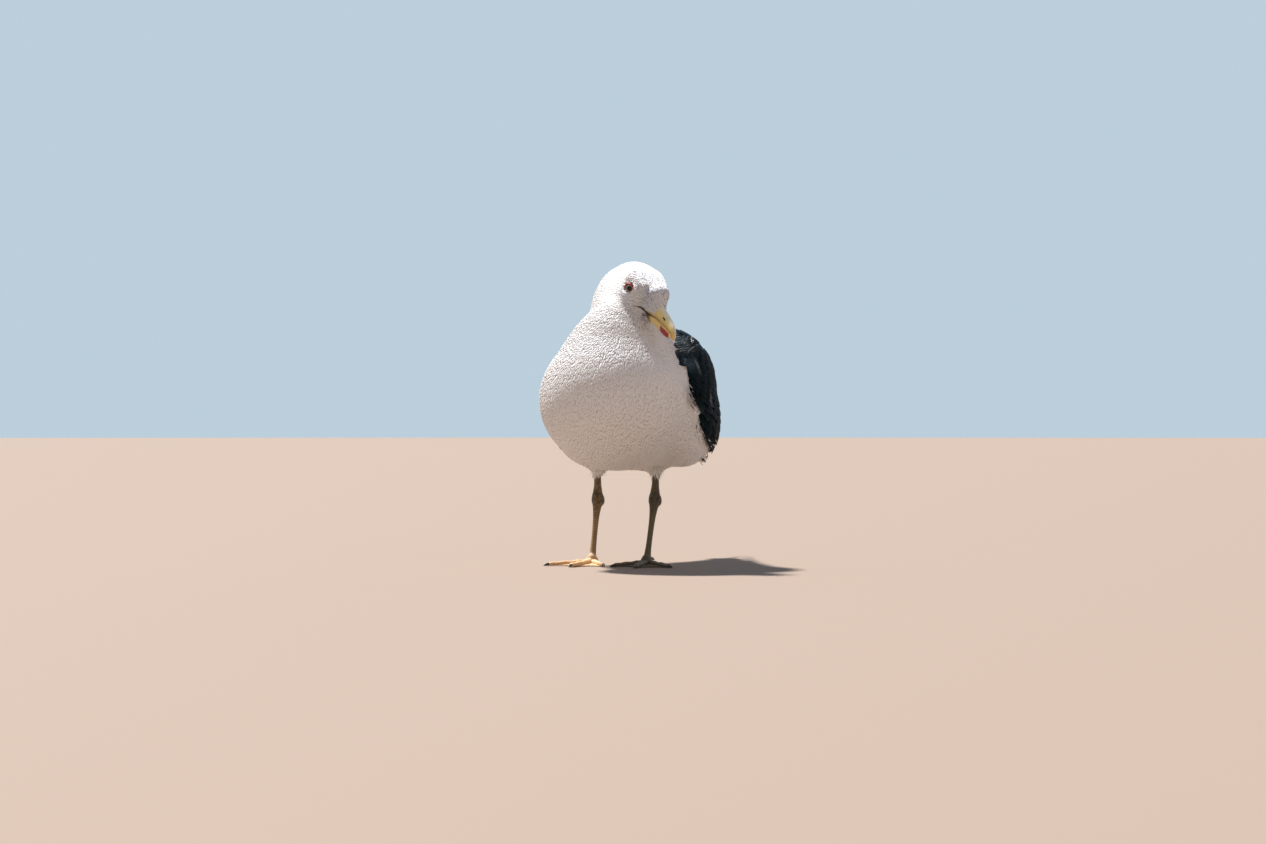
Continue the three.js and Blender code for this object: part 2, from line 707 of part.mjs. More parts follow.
// One feather lying along the body from (s0, a0) to (s1, a1). Its root is sunk in what it grows from, and its
// underside rests in what it lies on. under and over: the heights of its two faces at the root and the tip.
function vane(surface, { s0, a0, s1, a1, wide, under, over, tilt = TILT, outline = ROUND }) {
  const reach = onBody(surface, (s0 + s1) / 2, (a0 + a1) / 2, 0);
  const axisThere = AXIS_START.clone().addScaledVector(AXIS, (s0 + s1) / 2);
  const perDegree = Math.max(reach.distanceTo(axisThere), 9) * rad(1);
  return sheet((along, across, face) => {
    const [share, spread] = outline[Math.round(along * (outline.length - 1))];
    const offset = ((2 * across - 1) * wide * spread) / perDegree;
    const risen = Math.min(1, share / RISEN);
    const top = mix(over[0], over[1], risen) + tilt * (across - 0.5) + (across === 0.5 ? CROWN : 0);
    const height = face ? top : mix(under[0], under[1], risen);
    return onBody(surface, mix(s0, s1, share), mix(a0, a1, share) + offset, height);
  }, outline.length - 1, 2);
}

// ---------------------------------------------------------------- wings

// The folded wing's bed along the trunk's axis: [s, angle of its upper edge, of the lower one, thickness]
const WING = [
  [84, 58, 84, 2.8],
  [102, 53, 95, 5.2],
  [135, 48, 103, 6.0],
  [180, 39, 108, 5.0],
  [230, 22, 108, 3.4],
  [272, 6, 98, 1.4],
];
const [wingTop, wingLow, wingThick] = [1, 2, 3].map((column) => track(WING, column));
const WING_SUNK = 1; // how deep the bed's inner face starts, before the body is cut out of it
const [WING_ROWS, WING_COLUMNS] = [9, 4];

// How thick the bed is at a place: s along the trunk, q from its lower edge (0) to its upper edge (1).
const bedThick = (s, q) => wingThick(s) * mix(0.5, 1, Math.min(1, 3 * q));
const wingAngle = (s, q) => mix(wingLow(s), wingTop(s), q);

function wingBed() {
  const [s0, s1] = [WING[0][0], WING.at(-1)[0]];
  return sheet((along, across, face) => {
    const s = mix(s0, s1, along);
    return onBody(cover, s, wingAngle(s, across), face ? bedThick(s, across) : -WING_SUNK);
  }, WING_ROWS, WING_COLUMNS);
}

const SUNK = 0.6; // how far under the bed's face a feather's root starts
const REST = 1.5; // how deep its underside lies in the bed
// Rows of feathers, hindmost first, each running from the wing's lower edge to the upper one:
// [count, s of roots there and there, q there and there, length there and there, half width, rise]
const TIERS = {
  secondaries: [4, 192, 186, 0.07, 0.42, 64, 74, 10, 1.6],
  greaterCoverts: [5, 156, 158, 0.1, 0.78, 48, 54, 12.5, 2.0],
  medianCoverts: [5, 120, 124, 0.14, 0.78, 40, 42, 12.5, 2.2],
};
// The inner feathers that close the wing over the rump: [s of root, q, s and angle of tip, half width, rise]
const TERTIALS = [
  [184, 0.56, 276, 44, 13, 2.4],
  [186, 0.73, 286, 27, 13, 3.2],
  [188, 0.9, 292, 11, 12, 4.0],
];
// The hand's feathers, longest and lowest first: [s of root, s and angle of tip, half width]
const PRIMARIES = [
  [232, 405, 55, 9],
  [230, 382, 60, 9.5],
  [228, 358, 66, 9.5],
  [226, 334, 73, 9.5],
];
const PRIMARY_ROOT = 80; // angle at which they leave the hand
const PRIMARY_THICK = 1.2;
const PRIMARY_STEP = 0.8; // one lies this much over the next

function wingFeathers(draw) {
  const vanes = [];
  const put = (feather) => vanes.push(vane(cover, feather));
  PRIMARIES.forEach(([s0, s1, a1, wide], n) => {
    const height = 0.3 + PRIMARY_STEP * n;
    const a0 = mix(PRIMARY_ROOT, a1, 0.3);
    const [under, over] = [[height, height], [height + PRIMARY_THICK, height + PRIMARY_THICK]];
    put({ s0, a0, s1: s1 + draw(), a1, wide, under, over, tilt: 0, outline: POINTED });
  });
  const onBed = (s0, q0, s1, q1, lift) => {
    const [root, tip] = [bedThick(s0, q0), bedThick(s1, q1)];
    return { under: [root - REST, tip - REST], over: [root - SUNK, tip + lift] };
  };
  for (const [count, sLow, sHigh, qLow, qHigh, longLow, longHigh, wide, lift] of Object.values(TIERS))
    for (let i = 0; i < count; i++) {
      const share = i / (count - 1);
      const q = mix(qLow, qHigh, share);
      const s0 = mix(sLow, sHigh, share) + 1.5 * draw();
      const s1 = s0 + mix(longLow, longHigh, share) + 1.5 * draw();
      const a1 = wingAngle(s1, q) + draw();
      put({ s0, a0: wingAngle(s0, q), s1, a1, wide, ...onBed(s0, q, s1, q, lift) });
    }
  for (const [s0, q, tip, a1, wide, lift] of TERTIALS) {
    const s1 = tip + 1.5 * draw();
    put({ s0, a0: wingAngle(s0, q), s1, a1: a1 + draw(), wide, ...onBed(s0, q, s1, 1, lift) });
  }
  return vanes;
}

function wingNode(side, clear) {
  const feathers = wingFeathers(seeded(side > 0 ? 11 : 41));
  const solids = [wingBed(), ...feathers].map((geometry) => solidOf(sided(geometry, side)));
  const wing = joined(solids).subtract(clear).subtract(saddle(GAP));
  return largest(beyond(wing, v3(0, 0, 0), v3(side, 0, 0), 0.25));
}

// A geometry made on the left, taken to a side.
function sided(geometry, side) {
  return facingOut(geometry.scale(side, 1, 1));
}

// ---------------------------------------------------------------- back and tail

// The back's saddle between the wings: [s, half angle that it spans, thickness]
const BACK = [[84, 61, 4.8], [104, 56, 5.2], [140, 51, 4.2], [190, 41, 3], [235, 24, 2], [266, 9, 1.4]];
const [backSpan, backThick] = [1, 2].map((column) => track(BACK, column));
const BACK_END = 256; // s beyond which its feathers lie side by side
const NAPE_LINE = 34; // how much further back the saddle starts at the nape than at the shoulders

function backBed() {
  const [s0, s1] = [BACK[0][0], BACK.at(-1)[0]];
  return sheet((along, across, face) => {
    const middle = 1 - (2 * across - 1) ** 2;
    const s = mix(s0 + NAPE_LINE * middle, s1, along);
    const angle = (2 * across - 1) * (backSpan(s) + 3);
    const thick = backThick(s - NAPE_LINE * middle * (1 - along));
    return onBody(cover, s, angle, face ? thick : -WING_SUNK);
  }, 8, 8);
}

// All that lies between the wings' upper edges, through the whole depth of the feathers.
function saddle(grow) {
  const [s0, s1] = [BACK[0][0] - 20, BACK.at(-1)[0] + 20];
  const place = (along, across, face) => {
    const s = mix(s0, s1, along);
    const angle = (2 * across - 1) * (backSpan(s) + grow);
    return onBody(cover, s, angle, face ? 40 : -25);
  };
  return solidOf(sheet(place, 8, 6));
}

// Rows of mantle feathers, hindmost first: [count on a side, s of roots, span, length, half width]
const SCAPULARS = [[3, 186, 0.95, 66, 12.5], [3, 152, 0.95, 54, 14], [3, 118, 0.9, 50, 15]];
const SCAPULAR_RISE = 2.2;

function backFeathers() {
  const draw = seeded(5);
  const vanes = [];
  for (const [count, row, span, long, wide] of SCAPULARS)
    for (const [, side] of SIDES)
      for (let i = 0; i < count; i++) {
        const out = (span * (i + 0.5)) / (count - 0.5);
        const s0 = row + 1.5 * draw() + NAPE_LINE * 0.3 * (1 - out);
        const s1 = s0 + long * mix(1, 0.85, 1 - out) + 2 * draw();
        const a0 = side * backSpan(s0) * out;
        const a1 = side * backSpan(Math.min(s1, BACK_END)) * out + draw();
        const [root, tip] = [backThick(s0), backThick(s1)];
        const [under, over] = [[root - REST, tip - REST], [root - SUNK, tip + SCAPULAR_RISE]];
        vanes.push(vane(cover, { s0, a0, s1, a1, wide, under, over, tilt: -side * TILT }));
      }
  return vanes;
}

function backNode(clear) {
  const feathers = joined([backBed(), ...backFeathers()].map(solidOf));
  return largest(feathers.intersect(saddle(0)).subtract(clear));
}

// The tail: twelve feathers in a narrow fan over a short bed, [y, z of its upper face, half width, thickness]
const TAIL = [[158, 136, 17, 7], [185, 126.5, 18, 5], [205, 120.5, 15, 3]];
const [tailHigh, tailWide, tailThick] = [1, 2, 3].map((column) => track(TAIL, column));
const TAIL_ROOT = v3(0, 178, 127);
const RECTRIX = { pairs: 6, long: 78, wide: 9.5, fan: 1.4, slope: 14, step: 0.62, thick: 0.9, aside: 0.6 };

function tailBed() {
  const [y0, y1] = [TAIL[0][0], TAIL.at(-1)[0]];
  return sheet((along, across, face) => {
    const y = mix(y0, y1, along);
    const x = tailWide(y) * (2 * across - 1);
    return v3(x, y, tailHigh(y) - 0.004 * x * x - (face ? 0 : tailThick(y)));
  }, 2, 2);
}

// One tail feather: n from 0 at the middle to the outermost, which lie lowest.
function rectrix(side, n) {
  const { long, wide, fan, slope, step, thick } = RECTRIX;
  const turn = rad(side * fan * (n + 0.5));
  const down = rad(slope);
  const drop = step * (n + (side < 0 ? 0.5 : 0));
  return sheet((along, across, face) => {
    const [share, spread] = ROUND[Math.round(along * (ROUND.length - 1))];
    const reach = share * (long - 0.8 * n);
    const aside = (2 * across - 1) * wide * spread + side * RECTRIX.aside * n;
    const x = reach * Math.sin(turn) + aside * Math.cos(turn);
    const y = reach * Math.cos(turn) * Math.cos(down) - aside * Math.sin(turn);
    return v3(x, TAIL_ROOT.y + y, TAIL_ROOT.z - reach * Math.sin(down) - drop - (face ? 0 : thick));
  }, ROUND.length - 1, 1);
}

function tailNode(clear) {
  const parts = [tailBed()];
  for (const [, side] of SIDES) for (let n = 0; n < RECTRIX.pairs; n++) parts.push(rectrix(side, n));
  return largest(joined(parts.map(solidOf)).subtract(clear));
}

// ---------------------------------------------------------------- the bird

const PAINT = {
  white: { color: 0xf2f0ec, roughness: 0.9 },
  slate: { color: 0x2c3238, roughness: 0.75 },
  bill: { color: 0xe2b43a, roughness: 0.35 },
  legs: { color: 0xb59a45, roughness: 0.6 },
  feet: { color: 0xd9a94a, roughness: 0.55 },
  claw: { color: 0x17171a, roughness: 0.4 },
  iris: { color: 0xc9c6a0, roughness: 0.1 },
  lid: { color: 0xc8322a, roughness: 0.6 },
};

const bird = new THREE.Group();

function add(name, solid, paint) {
  const finish = new THREE.MeshStandardMaterial({ metalness: 0, ...PAINT[paint] });
  const mesh = new THREE.Mesh(geometryOf(solid), finish);
  mesh.name = name;
  bird.add(mesh);
}

const clearBody = bodyTo((z) => GAP * (z > 226 ? 4 : 1.15)); // more where the neck lies

add("torso", torsoNode(), "white");
add("neck", neckNode(), "white");
add("head", headNode(), "white");
add("bill_upper", upperBillNode(), "bill");
add("bill_lower", largest(bill(lowerSection, 0).subtract(bill(upperSection, GAP))), "bill");
add("back", backNode(clearBody), "slate");
add("tail", tailNode(clearBody), "white");
for (const [name, side] of SIDES) {
  add("eye_" + name, eyeball(side, EYE_R), "iris");
  add("eyelid_" + name, lidRing(side, LID_WIRE).subtract(eyeball(side, EYE_R + GAP)), "lid");
  add("wing_" + name, wingNode(side, clearBody), "slate");
  add("thigh_" + name, thighNode(side, clearBody), "white");
  add("shin_" + name, shinNode(side, clearBody), "legs");
  add("tarsus_" + name, tarsusNode(side), "legs");
  add("foot_" + name, footNode(side), "feet");
  for (const [toeName, turn, length, thick] of TOES) {
    const line = toeLine(side, turn, length, thick);
    add("claw_" + toeName + "_" + name, clawNode(line.points[4], line.aim, 1), "claw");
  }
  const rear = halluxLine(side);
  add("claw_hallux_" + name, clawNode(rear.tip, rear.aim, 0.55), "claw");
}

// The origin is on the floor, under the middle of the whole bird.
const middle = new THREE.Box3().setFromObject(bird).getCenter(v3(0, 0, 0));
for (const mesh of bird.children) mesh.geometry.translate(-middle.x, -middle.y, 0);

export default bird;
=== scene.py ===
import math

import bpy
import numpy as np
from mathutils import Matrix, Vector


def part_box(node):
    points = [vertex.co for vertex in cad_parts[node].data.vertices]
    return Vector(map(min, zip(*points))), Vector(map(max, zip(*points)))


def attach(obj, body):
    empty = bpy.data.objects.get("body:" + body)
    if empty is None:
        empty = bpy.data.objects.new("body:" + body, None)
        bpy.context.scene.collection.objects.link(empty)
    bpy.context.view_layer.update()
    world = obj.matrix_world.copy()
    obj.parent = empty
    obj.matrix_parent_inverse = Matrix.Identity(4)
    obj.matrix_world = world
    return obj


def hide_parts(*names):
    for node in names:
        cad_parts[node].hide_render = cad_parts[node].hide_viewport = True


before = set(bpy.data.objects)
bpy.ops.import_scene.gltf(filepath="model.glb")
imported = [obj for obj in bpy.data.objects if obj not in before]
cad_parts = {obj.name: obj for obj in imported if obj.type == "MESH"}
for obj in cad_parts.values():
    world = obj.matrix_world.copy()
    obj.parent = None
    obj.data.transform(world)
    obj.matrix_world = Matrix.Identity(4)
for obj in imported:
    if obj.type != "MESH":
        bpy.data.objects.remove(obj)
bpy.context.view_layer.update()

# ------------------------------------------------------------------ named sizes, as in the part's source

HEAD_AT = np.array([34.0, -20.0, 286.0])  # midway between the eyes
HEAD_TURN, HEAD_DIP, HEAD_TILT = 54, 29, 6  # degrees to the left, below level, left eye low
EYE_AT = (2.5, 18.8, -0.8)  # centre of the left eyeball in the head's frame
EYE_R = 6.4
LID_R = 4.5
AXIS_START = np.array([0.0, -80.0, 190.0])  # straight line through the trunk, from the breast
AXIS_END = np.array([0.0, 318.0, 107.5])  # to the wing tips
LEG_SPREAD, HEEL_SPREAD = 30, 31.5
FOOT_X, FOOT_Y = -12, 38
HEEL_BACK, TARSUS, SHIN_TOP = 19, 62, 104
SIDES = (("left", 1), ("right", -1))
WING = [[84, 58, 84, 2.8], [102, 53, 95, 5.2], [135, 48, 103, 6.0], [180, 39, 108, 5.0],
        [230, 22, 108, 3.4], [272, 6, 98, 1.4]]
BACK = [[84, 61, 4.8], [104, 56, 5.2], [140, 51, 4.2], [190, 41, 3], [235, 24, 2], [266, 9, 1.4]]
BACK_END = 256
NAPE_LINE = 34
TOES = [("inner", -34, 41, 2.6), ("middle", 5, 53, 2.8), ("outer", 45, 49, 2.6)]
HALLUX = {"turn": 168, "length": 9, "thick": 1.7, "high": 9}
CLAW = {"length": 7.5, "thick": 1.35, "rings": 16, "round": 16}

# ------------------------------------------------------------------ small helpers


def mix(a, b, t):
    return a + (b - a) * t


def eased(low, high, value):
    """0 below low, 1 above high, with a soft start and end."""
    t = np.clip((value - low) / (high - low), 0, 1)
    return t * t * (3 - 2 * t)


def bell(value, middle, width):
    return np.exp(-(((value - middle) / width) ** 2))


def unit(v):
    v = np.asarray(v, float)
    return v / np.maximum(np.linalg.norm(v, axis=-1, keepdims=True), 1e-9)


def track(stations, column):
    """A smooth track through stations, each [position, value, value, ...]."""
    table = np.array(stations, float)
    x, y = table[:, 0], table[:, column]
    last = len(x) - 1
    before = np.maximum(np.arange(last) - 1, 0)
    after = np.minimum(np.arange(last) + 2, last)
    span = x[1:] - x[:-1]
    leave = (y[1:] - y[before]) / (x[1:] - x[before]) * span
    reach = (y[after] - y[:-1]) / (x[after] - x[:-1]) * span

    def at(place):
        place = np.clip(np.asarray(place, float), x[0], x[-1])
        i = np.clip(np.searchsorted(x, place, side="left") - 1, 0, last - 1)
        t = (place - x[i]) / span[i]
        u = t * t * (3 - 2 * t)
        return y[i] * (1 - u) + y[i + 1] * u + leave[i] * t * (1 - t) ** 2 - reach[i] * t * t * (1 - t)

    return at


def head_axes():
    """Rows: along the bill, to the bird's left, to the crown."""
    turn, dip, tilt = np.radians([HEAD_TURN, HEAD_DIP, HEAD_TILT])
    forward = np.array([math.sin(turn), -math.cos(turn), 0])
    left = np.cross([0, 0, 1], forward)
    dipped = forward * math.cos(dip) - np.array([0, 0, math.sin(dip)])
    crown = np.cross(dipped, left)
    tilted_left = left * math.cos(tilt) - crown * math.sin(tilt)
    tilted_crown = crown * math.cos(tilt) + left * math.sin(tilt)
    return np.stack([dipped, tilted_left, tilted_crown])


HEAD = head_axes()


def in_head(*place):
    """A point of the head's own frame, on the bird."""
    return HEAD_AT + np.stack(np.broadcast_arrays(*place), -1).astype(float) @ HEAD


def to_head(points):
    return (points - HEAD_AT) @ HEAD.T


eye_low, eye_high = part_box("eye_left")
SHIFT = np.array((eye_low + eye_high) / 2) * 1000 - in_head(*EYE_AT)
SHIFT[2] = 0


def to_metres(points):
    return (np.asarray(points, float) + SHIFT) / 1000


# ------------------------------------------------------------------ nodes


class Nodes:
    """A tree of nodes, with short ways to add to it."""

    def __init__(self, tree):
        self.tree = tree

    def add(self, kind, inputs=None, **settings):
        """A node with its settings, and its inputs joined to sockets or set to values."""
        made = self.tree.nodes.new(kind)
        for key, value in settings.items():
            setattr(made, key, value)
        for key, value in (inputs or {}).items():
            socket = made.inputs[key]
            if isinstance(value, bpy.types.NodeSocket):
                self.tree.links.new(value, socket)
            else:
                socket.default_value = value
        return made

    def maths(self, operation, a, b=0.0, c=0.0):
        return self.add("ShaderNodeMath", {0: a, 1: b, 2: c}, operation=operation).outputs[0]

    def times(self, a, b):
        return self.maths("MULTIPLY", a, b)

    def scaled(self, a, factor, more):
        return self.maths("MULTIPLY_ADD", a, factor, more)

    def vectors(self, operation, a, b=None, scale=None):
        inputs = {key: value for key, value in ((0, a), (1, b), ("Scale", scale)) if value is not None}
        return self.add("ShaderNodeVectorMath", inputs, operation=operation).outputs[0]

    def ramp(self, value, low, high, kind="SMOOTHSTEP"):
        """0 at low, 1 at high, held outside them."""
        return self.add("ShaderNodeMapRange", {"Value": value, "From Min": low, "From Max": high},
                        interpolation_type=kind).outputs["Result"]

    def blend(self, a, b, share):
        inputs = {"Factor": share}
        for key, value in (("A", a), ("B", b)):
            inputs[key] = value if isinstance(value, bpy.types.NodeSocket) else (*value, 1)
        return self.add("ShaderNodeMix", inputs, data_type="RGBA").outputs["Result"]


class Finish(Nodes):
    """A material in the making. Its patterns lie on the piece, by object coordinates or marks."""

    def __init__(self, name):
        self.material = bpy.data.materials.new(name)
        self.material.use_nodes = True
        super().__init__(self.material.node_tree)
        self.tree.nodes.clear()
        self.place = self.add("ShaderNodeTexCoord").outputs["Object"]

    def mark(self, name, output="Fac"):
        """A value that is stored on the piece's points."""
        return self.add("ShaderNodeAttribute", attribute_name=name).outputs[output]

    def marks(self, *names):
        return [self.mark(name) for name in names]

    def noise(self, scale, detail=3.0, roughness=0.5):
        inputs = {"Vector": self.place, "Scale": scale, "Detail": detail, "Roughness": roughness}
        return self.add("ShaderNodeTexNoise", inputs).outputs["Fac"]

    def washed(self, colour, *washes):
        """A colour with washes laid over it in turn, each (tone, share)."""
        for tone, share in washes:
            colour = self.blend(colour, tone, share)
        return colour

    def done(self, colour, roughness, height=None, strength=0.3, distance=0.0004, **sockets):
        """The material with its surface: a height makes bump, and other sockets are set by name."""
        inputs = {"Base Color": colour, "Roughness": roughness}
        inputs.update({key.replace("_", " "): value for key, value in sockets.items()})
        if height is not None:
            bump = self.add("ShaderNodeBump", {"Height": height, "Strength": strength, "Distance": distance})
            inputs["Normal"] = bump.outputs["Normal"]
        shader = self.add("ShaderNodeBsdfPrincipled", inputs)
        self.add("ShaderNodeOutputMaterial", {"Surface": shader.outputs["BSDF"]})
        return self.material


# ------------------------------------------------------------------ camera, floor and light

CAMERA_TURN = math.radians(18)  # how far round to the bird's left the camera stands
CAMERA_AWAY, CAMERA_HIGH, CAMERA_ASIDE = 3000, 149.4, 14.4
LENS, SENSOR = 82.8, 36
VIEW = np.array([-math.sin(CAMERA_TURN), math.cos(CAMERA_TURN), 0])
VIEW_RIGHT = np.array([math.cos(CAMERA_TURN), math.sin(CAMERA_TURN), 0])
FLOOR = {"radius": 25, "low": 0.0004, "sides": 64}  # in metres
# [name, where it stands (to the view's right, along the view, up), power, colour, spread in degrees]
LAMPS = [
    ("key_lamp", (-0.352, 0.337, 0.873), 7.6, (1.0, 0.99, 0.975), 5),
    ("front_lamp", (0.62, -0.75, 0.05), 0.42, (1.0, 0.76, 0.58), 70),
]
FRONT_TONE, BACKDROP_TONE, ZENITH_TONE = (0.25, 0.245, 0.265), (0.50, 0.62, 0.71), (0.23, 0.28, 0.39)


def link(thing):
    bpy.context.scene.collection.objects.link(thing)
    return thing


def make_camera():
    data = bpy.data.cameras.new("camera")
    data.lens, data.sensor_width = LENS, SENSOR
    data.clip_start, data.clip_end = 0.05, 100
    camera = link(bpy.data.objects.new("camera", data))
    camera.location = to_metres(-CAMERA_AWAY * VIEW + CAMERA_ASIDE * VIEW_RIGHT + [0, 0, CAMERA_HIGH])
    camera.rotation_euler = (math.pi / 2, 0, CAMERA_TURN)
    bpy.context.scene.camera = camera


def floor_finish():
    finish = Finish("studio_floor")
    tone = finish.maths("MULTIPLY_ADD", finish.noise(60.0, 4.0), 0.06, 0.94)
    return finish.done(finish.blend((0.25, 0.18, 0.137), (0.28, 0.205, 0.156), tone), 0.85)


def make_stage():
    turns = np.linspace(0, 2 * math.pi, FLOOR["sides"] + 1)[:-1]
    rim = [(FLOOR["radius"] * math.cos(a), FLOOR["radius"] * math.sin(a), -FLOOR["low"]) for a in turns]
    mesh = bpy.data.meshes.new("floor")
    mesh.from_pydata(rim, [], [tuple(range(FLOOR["sides"]))])
    mesh.materials.append(floor_finish())
    link(bpy.data.objects.new("floor", mesh))


def make_world():
    """Soft surroundings: pale blue behind the bird, warm and dimmer on the camera's side, deeper overhead."""
    world = bpy.data.worlds.new("studio")
    world.use_nodes = True
    nodes = Nodes(world.node_tree)
    way = nodes.add("ShaderNodeTexCoord").outputs["Generated"]
    along = nodes.add("ShaderNodeVectorMath", {0: way, 1: tuple(VIEW)}, operation="DOT_PRODUCT").outputs["Value"]
    height = nodes.add("ShaderNodeSeparateXYZ", {"Vector": way}).outputs["Z"]
    colour = nodes.blend(FRONT_TONE, BACKDROP_TONE, nodes.ramp(along, -0.3, 0.8, "LINEAR"))
    colour = nodes.blend(colour, ZENITH_TONE, nodes.ramp(height, 0.25, 0.9, "LINEAR"))
    background = world.node_tree.nodes["Background"]
    world.node_tree.links.new(colour, background.inputs["Color"])
    background.inputs["Strength"].default_value = 1.0
    bpy.context.scene.world = world


def make_lights():
    for name, (right, ahead, up), power, colour, spread in LAMPS:
        data = bpy.data.lights.new(name, "SUN")
        data.energy, data.color, data.angle = power, colour, math.radians(spread)
        lamp = link(bpy.data.objects.new(name, data))
        place = Vector(right * VIEW_RIGHT + ahead * VIEW + np.array([0, 0, up]))
        lamp.rotation_euler = place.to_track_quat("Z", "Y").to_euler()
        lamp.location = place * 3
    make_world()
    bpy.context.scene.view_settings.view_transform = "Standard"


make_camera()
make_stage()
make_lights()

# ------------------------------------------------------------------ fields: negative inside, about mm outside


def pitched(degrees):
    a = math.radians(-degrees)
    return np.array([[1, 0, 0], [0, math.cos(a), -math.sin(a)], [0, math.sin(a), math.cos(a)]])


def ellipsoid(centre, radii, turned=None):
    centre, radii = np.array(centre, float), np.array(radii, float)

    def field(p):
        q = p - centre
        q = (q if turned is None else q @ turned) / radii
        near = np.sqrt((q * q).sum(1))
        q = q / radii
        return near * (near - 1) / np.maximum(np.sqrt((q * q).sum(1)), 1e-9)

    return field


def round_cone(start, end, r0, r1):
    start, end = np.array(start, float), np.array(end, float)
    run = end - start

    def field(p):
        q = p - start
        t = np.clip(q @ run / (run @ run), 0, 1)
        q = q - t[:, None] * run
        return np.sqrt((q * q).sum(1)) - mix(r0, r1, t)

    return field


def melt(width, fields):
    """The union of fields with its creases filled over a width."""

    def field(p):
        d = fields[0](p)
        for other in fields[1:]:
            e = other(p)
            near = np.maximum(width - np.abs(d - e), 0) / width
            d = np.minimum(d, e) - near * near * width / 4
        return d

    return field


def head_lump(x, y, z, *radii):
    return ellipsoid(in_head(x, y, z), radii, HEAD.T)


def head_ridges(start, end, r0, r1):
    """A ridge on each side of the head, the left one first."""
    return [round_cone(in_head(*start * mirror), in_head(*end * mirror), r0, r1)
            for start, end, mirror in ((np.array(start), np.array(end), np.array([1, side, 1])) for side in (1, -1))]


trunk = melt(16, [
    ellipsoid((1, -28, 172), (74.5, 68, 70)),  # breast
    ellipsoid((0, 38, 165), (83, 88, 62), pitched(22)),  # belly
    ellipsoid((0, 4, 142), (56, 56, 41)),  # keel
    *[ellipsoid((34 * side, 44, 198), (44, 60, 43), pitched(18)) for side in (1, -1)],  # shoulders
    ellipsoid((0, 108, 160), (52, 76, 35), pitched(27)),  # hind part
    ellipsoid((0, 172, 138), (25, 56, 15), pitched(20)),  # round the tail's root
    *[ellipsoid((52 * side, 52, 141), (30, 56, 37), pitched(8)) for side in (1, -1)],  # flanks
    ellipsoid((1, -14, 221), (51, 49, 42)),  # root of the neck
])
throat = melt(10, [
    round_cone((4, -18, 236), (15, -6, 266), 37, 30),
    ellipsoid((4, 4, 262), (35, 33, 34)),  # nape
    ellipsoid((6, 2, 278), (29, 27, 32)),  # back of the head
    ellipsoid((2, 17, 244), (38, 34, 29)),  # hind neck
])
skull = melt(5.5, [
    head_lump(-9, 0, 0, 30, 23, 20.5),  # crown
    *head_ridges((0, 2.4, 5), (21.6, 2.4, 3.6), 14.3, 10.3),  # forehead
    round_cone(in_head(21.5, 0, 3), in_head(26, 0, -4), 11.2, 8.8),  # over the bill's root
    head_lump(15, 0, -4, 20, 10.5, 11),  # lores
    head_lump(-6, 0, -10, 28, 22, 14),  # cheeks
    head_lump(9, 0, -15.5, 23, 10, 8),  # chin
    *head_ridges((-6, 14, 8.5), (13, 11, 7.5), 8, 5),  # brows
    *head_ridges((24, 4.0, -6.5), (36, 3.6, -9.2), 6.2, 4.3),  # points of feathers on the bill's sides
    *[head_lump(5, 12 * side, -1.5, 12.5, 9.3, 8.5) for side in (1, -1)],  # round the eyes
])
flesh = melt(12, [trunk, throat, skull])
# what the wings and the mantle lie on: the body without the head, and the folded wings' root behind it
cover = melt(26, [melt(12, [trunk, throat]), round_cone((0, 150, 155), (0, 312, 108), 26, 3)])


def heel(side):
    return np.array([FOOT_X + 1 + HEEL_SPREAD * side, FOOT_Y + HEEL_BACK, 6 + TARSUS], float)


def shin_top(side):
    return np.array([FOOT_X + 3 + (HEEL_SPREAD + 1) * side, FOOT_Y + HEEL_BACK - 3, SHIN_TOP + 8], float)


def toe_root(side):
    return np.array([FOOT_X + LEG_SPREAD * side, FOOT_Y, 6], float)


CUFF = [[0.10, 6.0], [0.24, 8.4], [0.45, 13.5], [0.7, 21], [1, 28]]  # share of the way up, radius
CUFF_START = 0.58  # where the cuff begins, in shares of the shin


def cuff_ends(side):
    return mix(heel(side), shin_top(side), CUFF_START), shin_top(side) + [-4 * side, 2, 20]


def thigh(side):
    """The loose feathers round the shin, let into the belly."""
    low, top = cuff_ends(side)
    places = [(mix(low, top, share), radius) for share, radius in CUFF]
    return melt(4, [round_cone(a, b, p, q) for (a, p), (b, q) in zip(places, places[1:])])


thighs = melt(4, [thigh(1), thigh(-1)])
whole = melt(9, [flesh, thighs])


def rise(field, p):
    """How steeply and which way a field rises."""
    e = 0.05
    steps = np.eye(3) * e
    return np.stack([field(p + step) - field(p - step) for step in steps], 1) / (2 * e)


def settle(field, p, steps=3):
    """Draws points on to a field's surface."""
    for _ in range(steps):
        g = rise(field, p)
        p = p - g * (field(p) / np.maximum((g * g).sum(1), 0.05))[:, None]
    return p


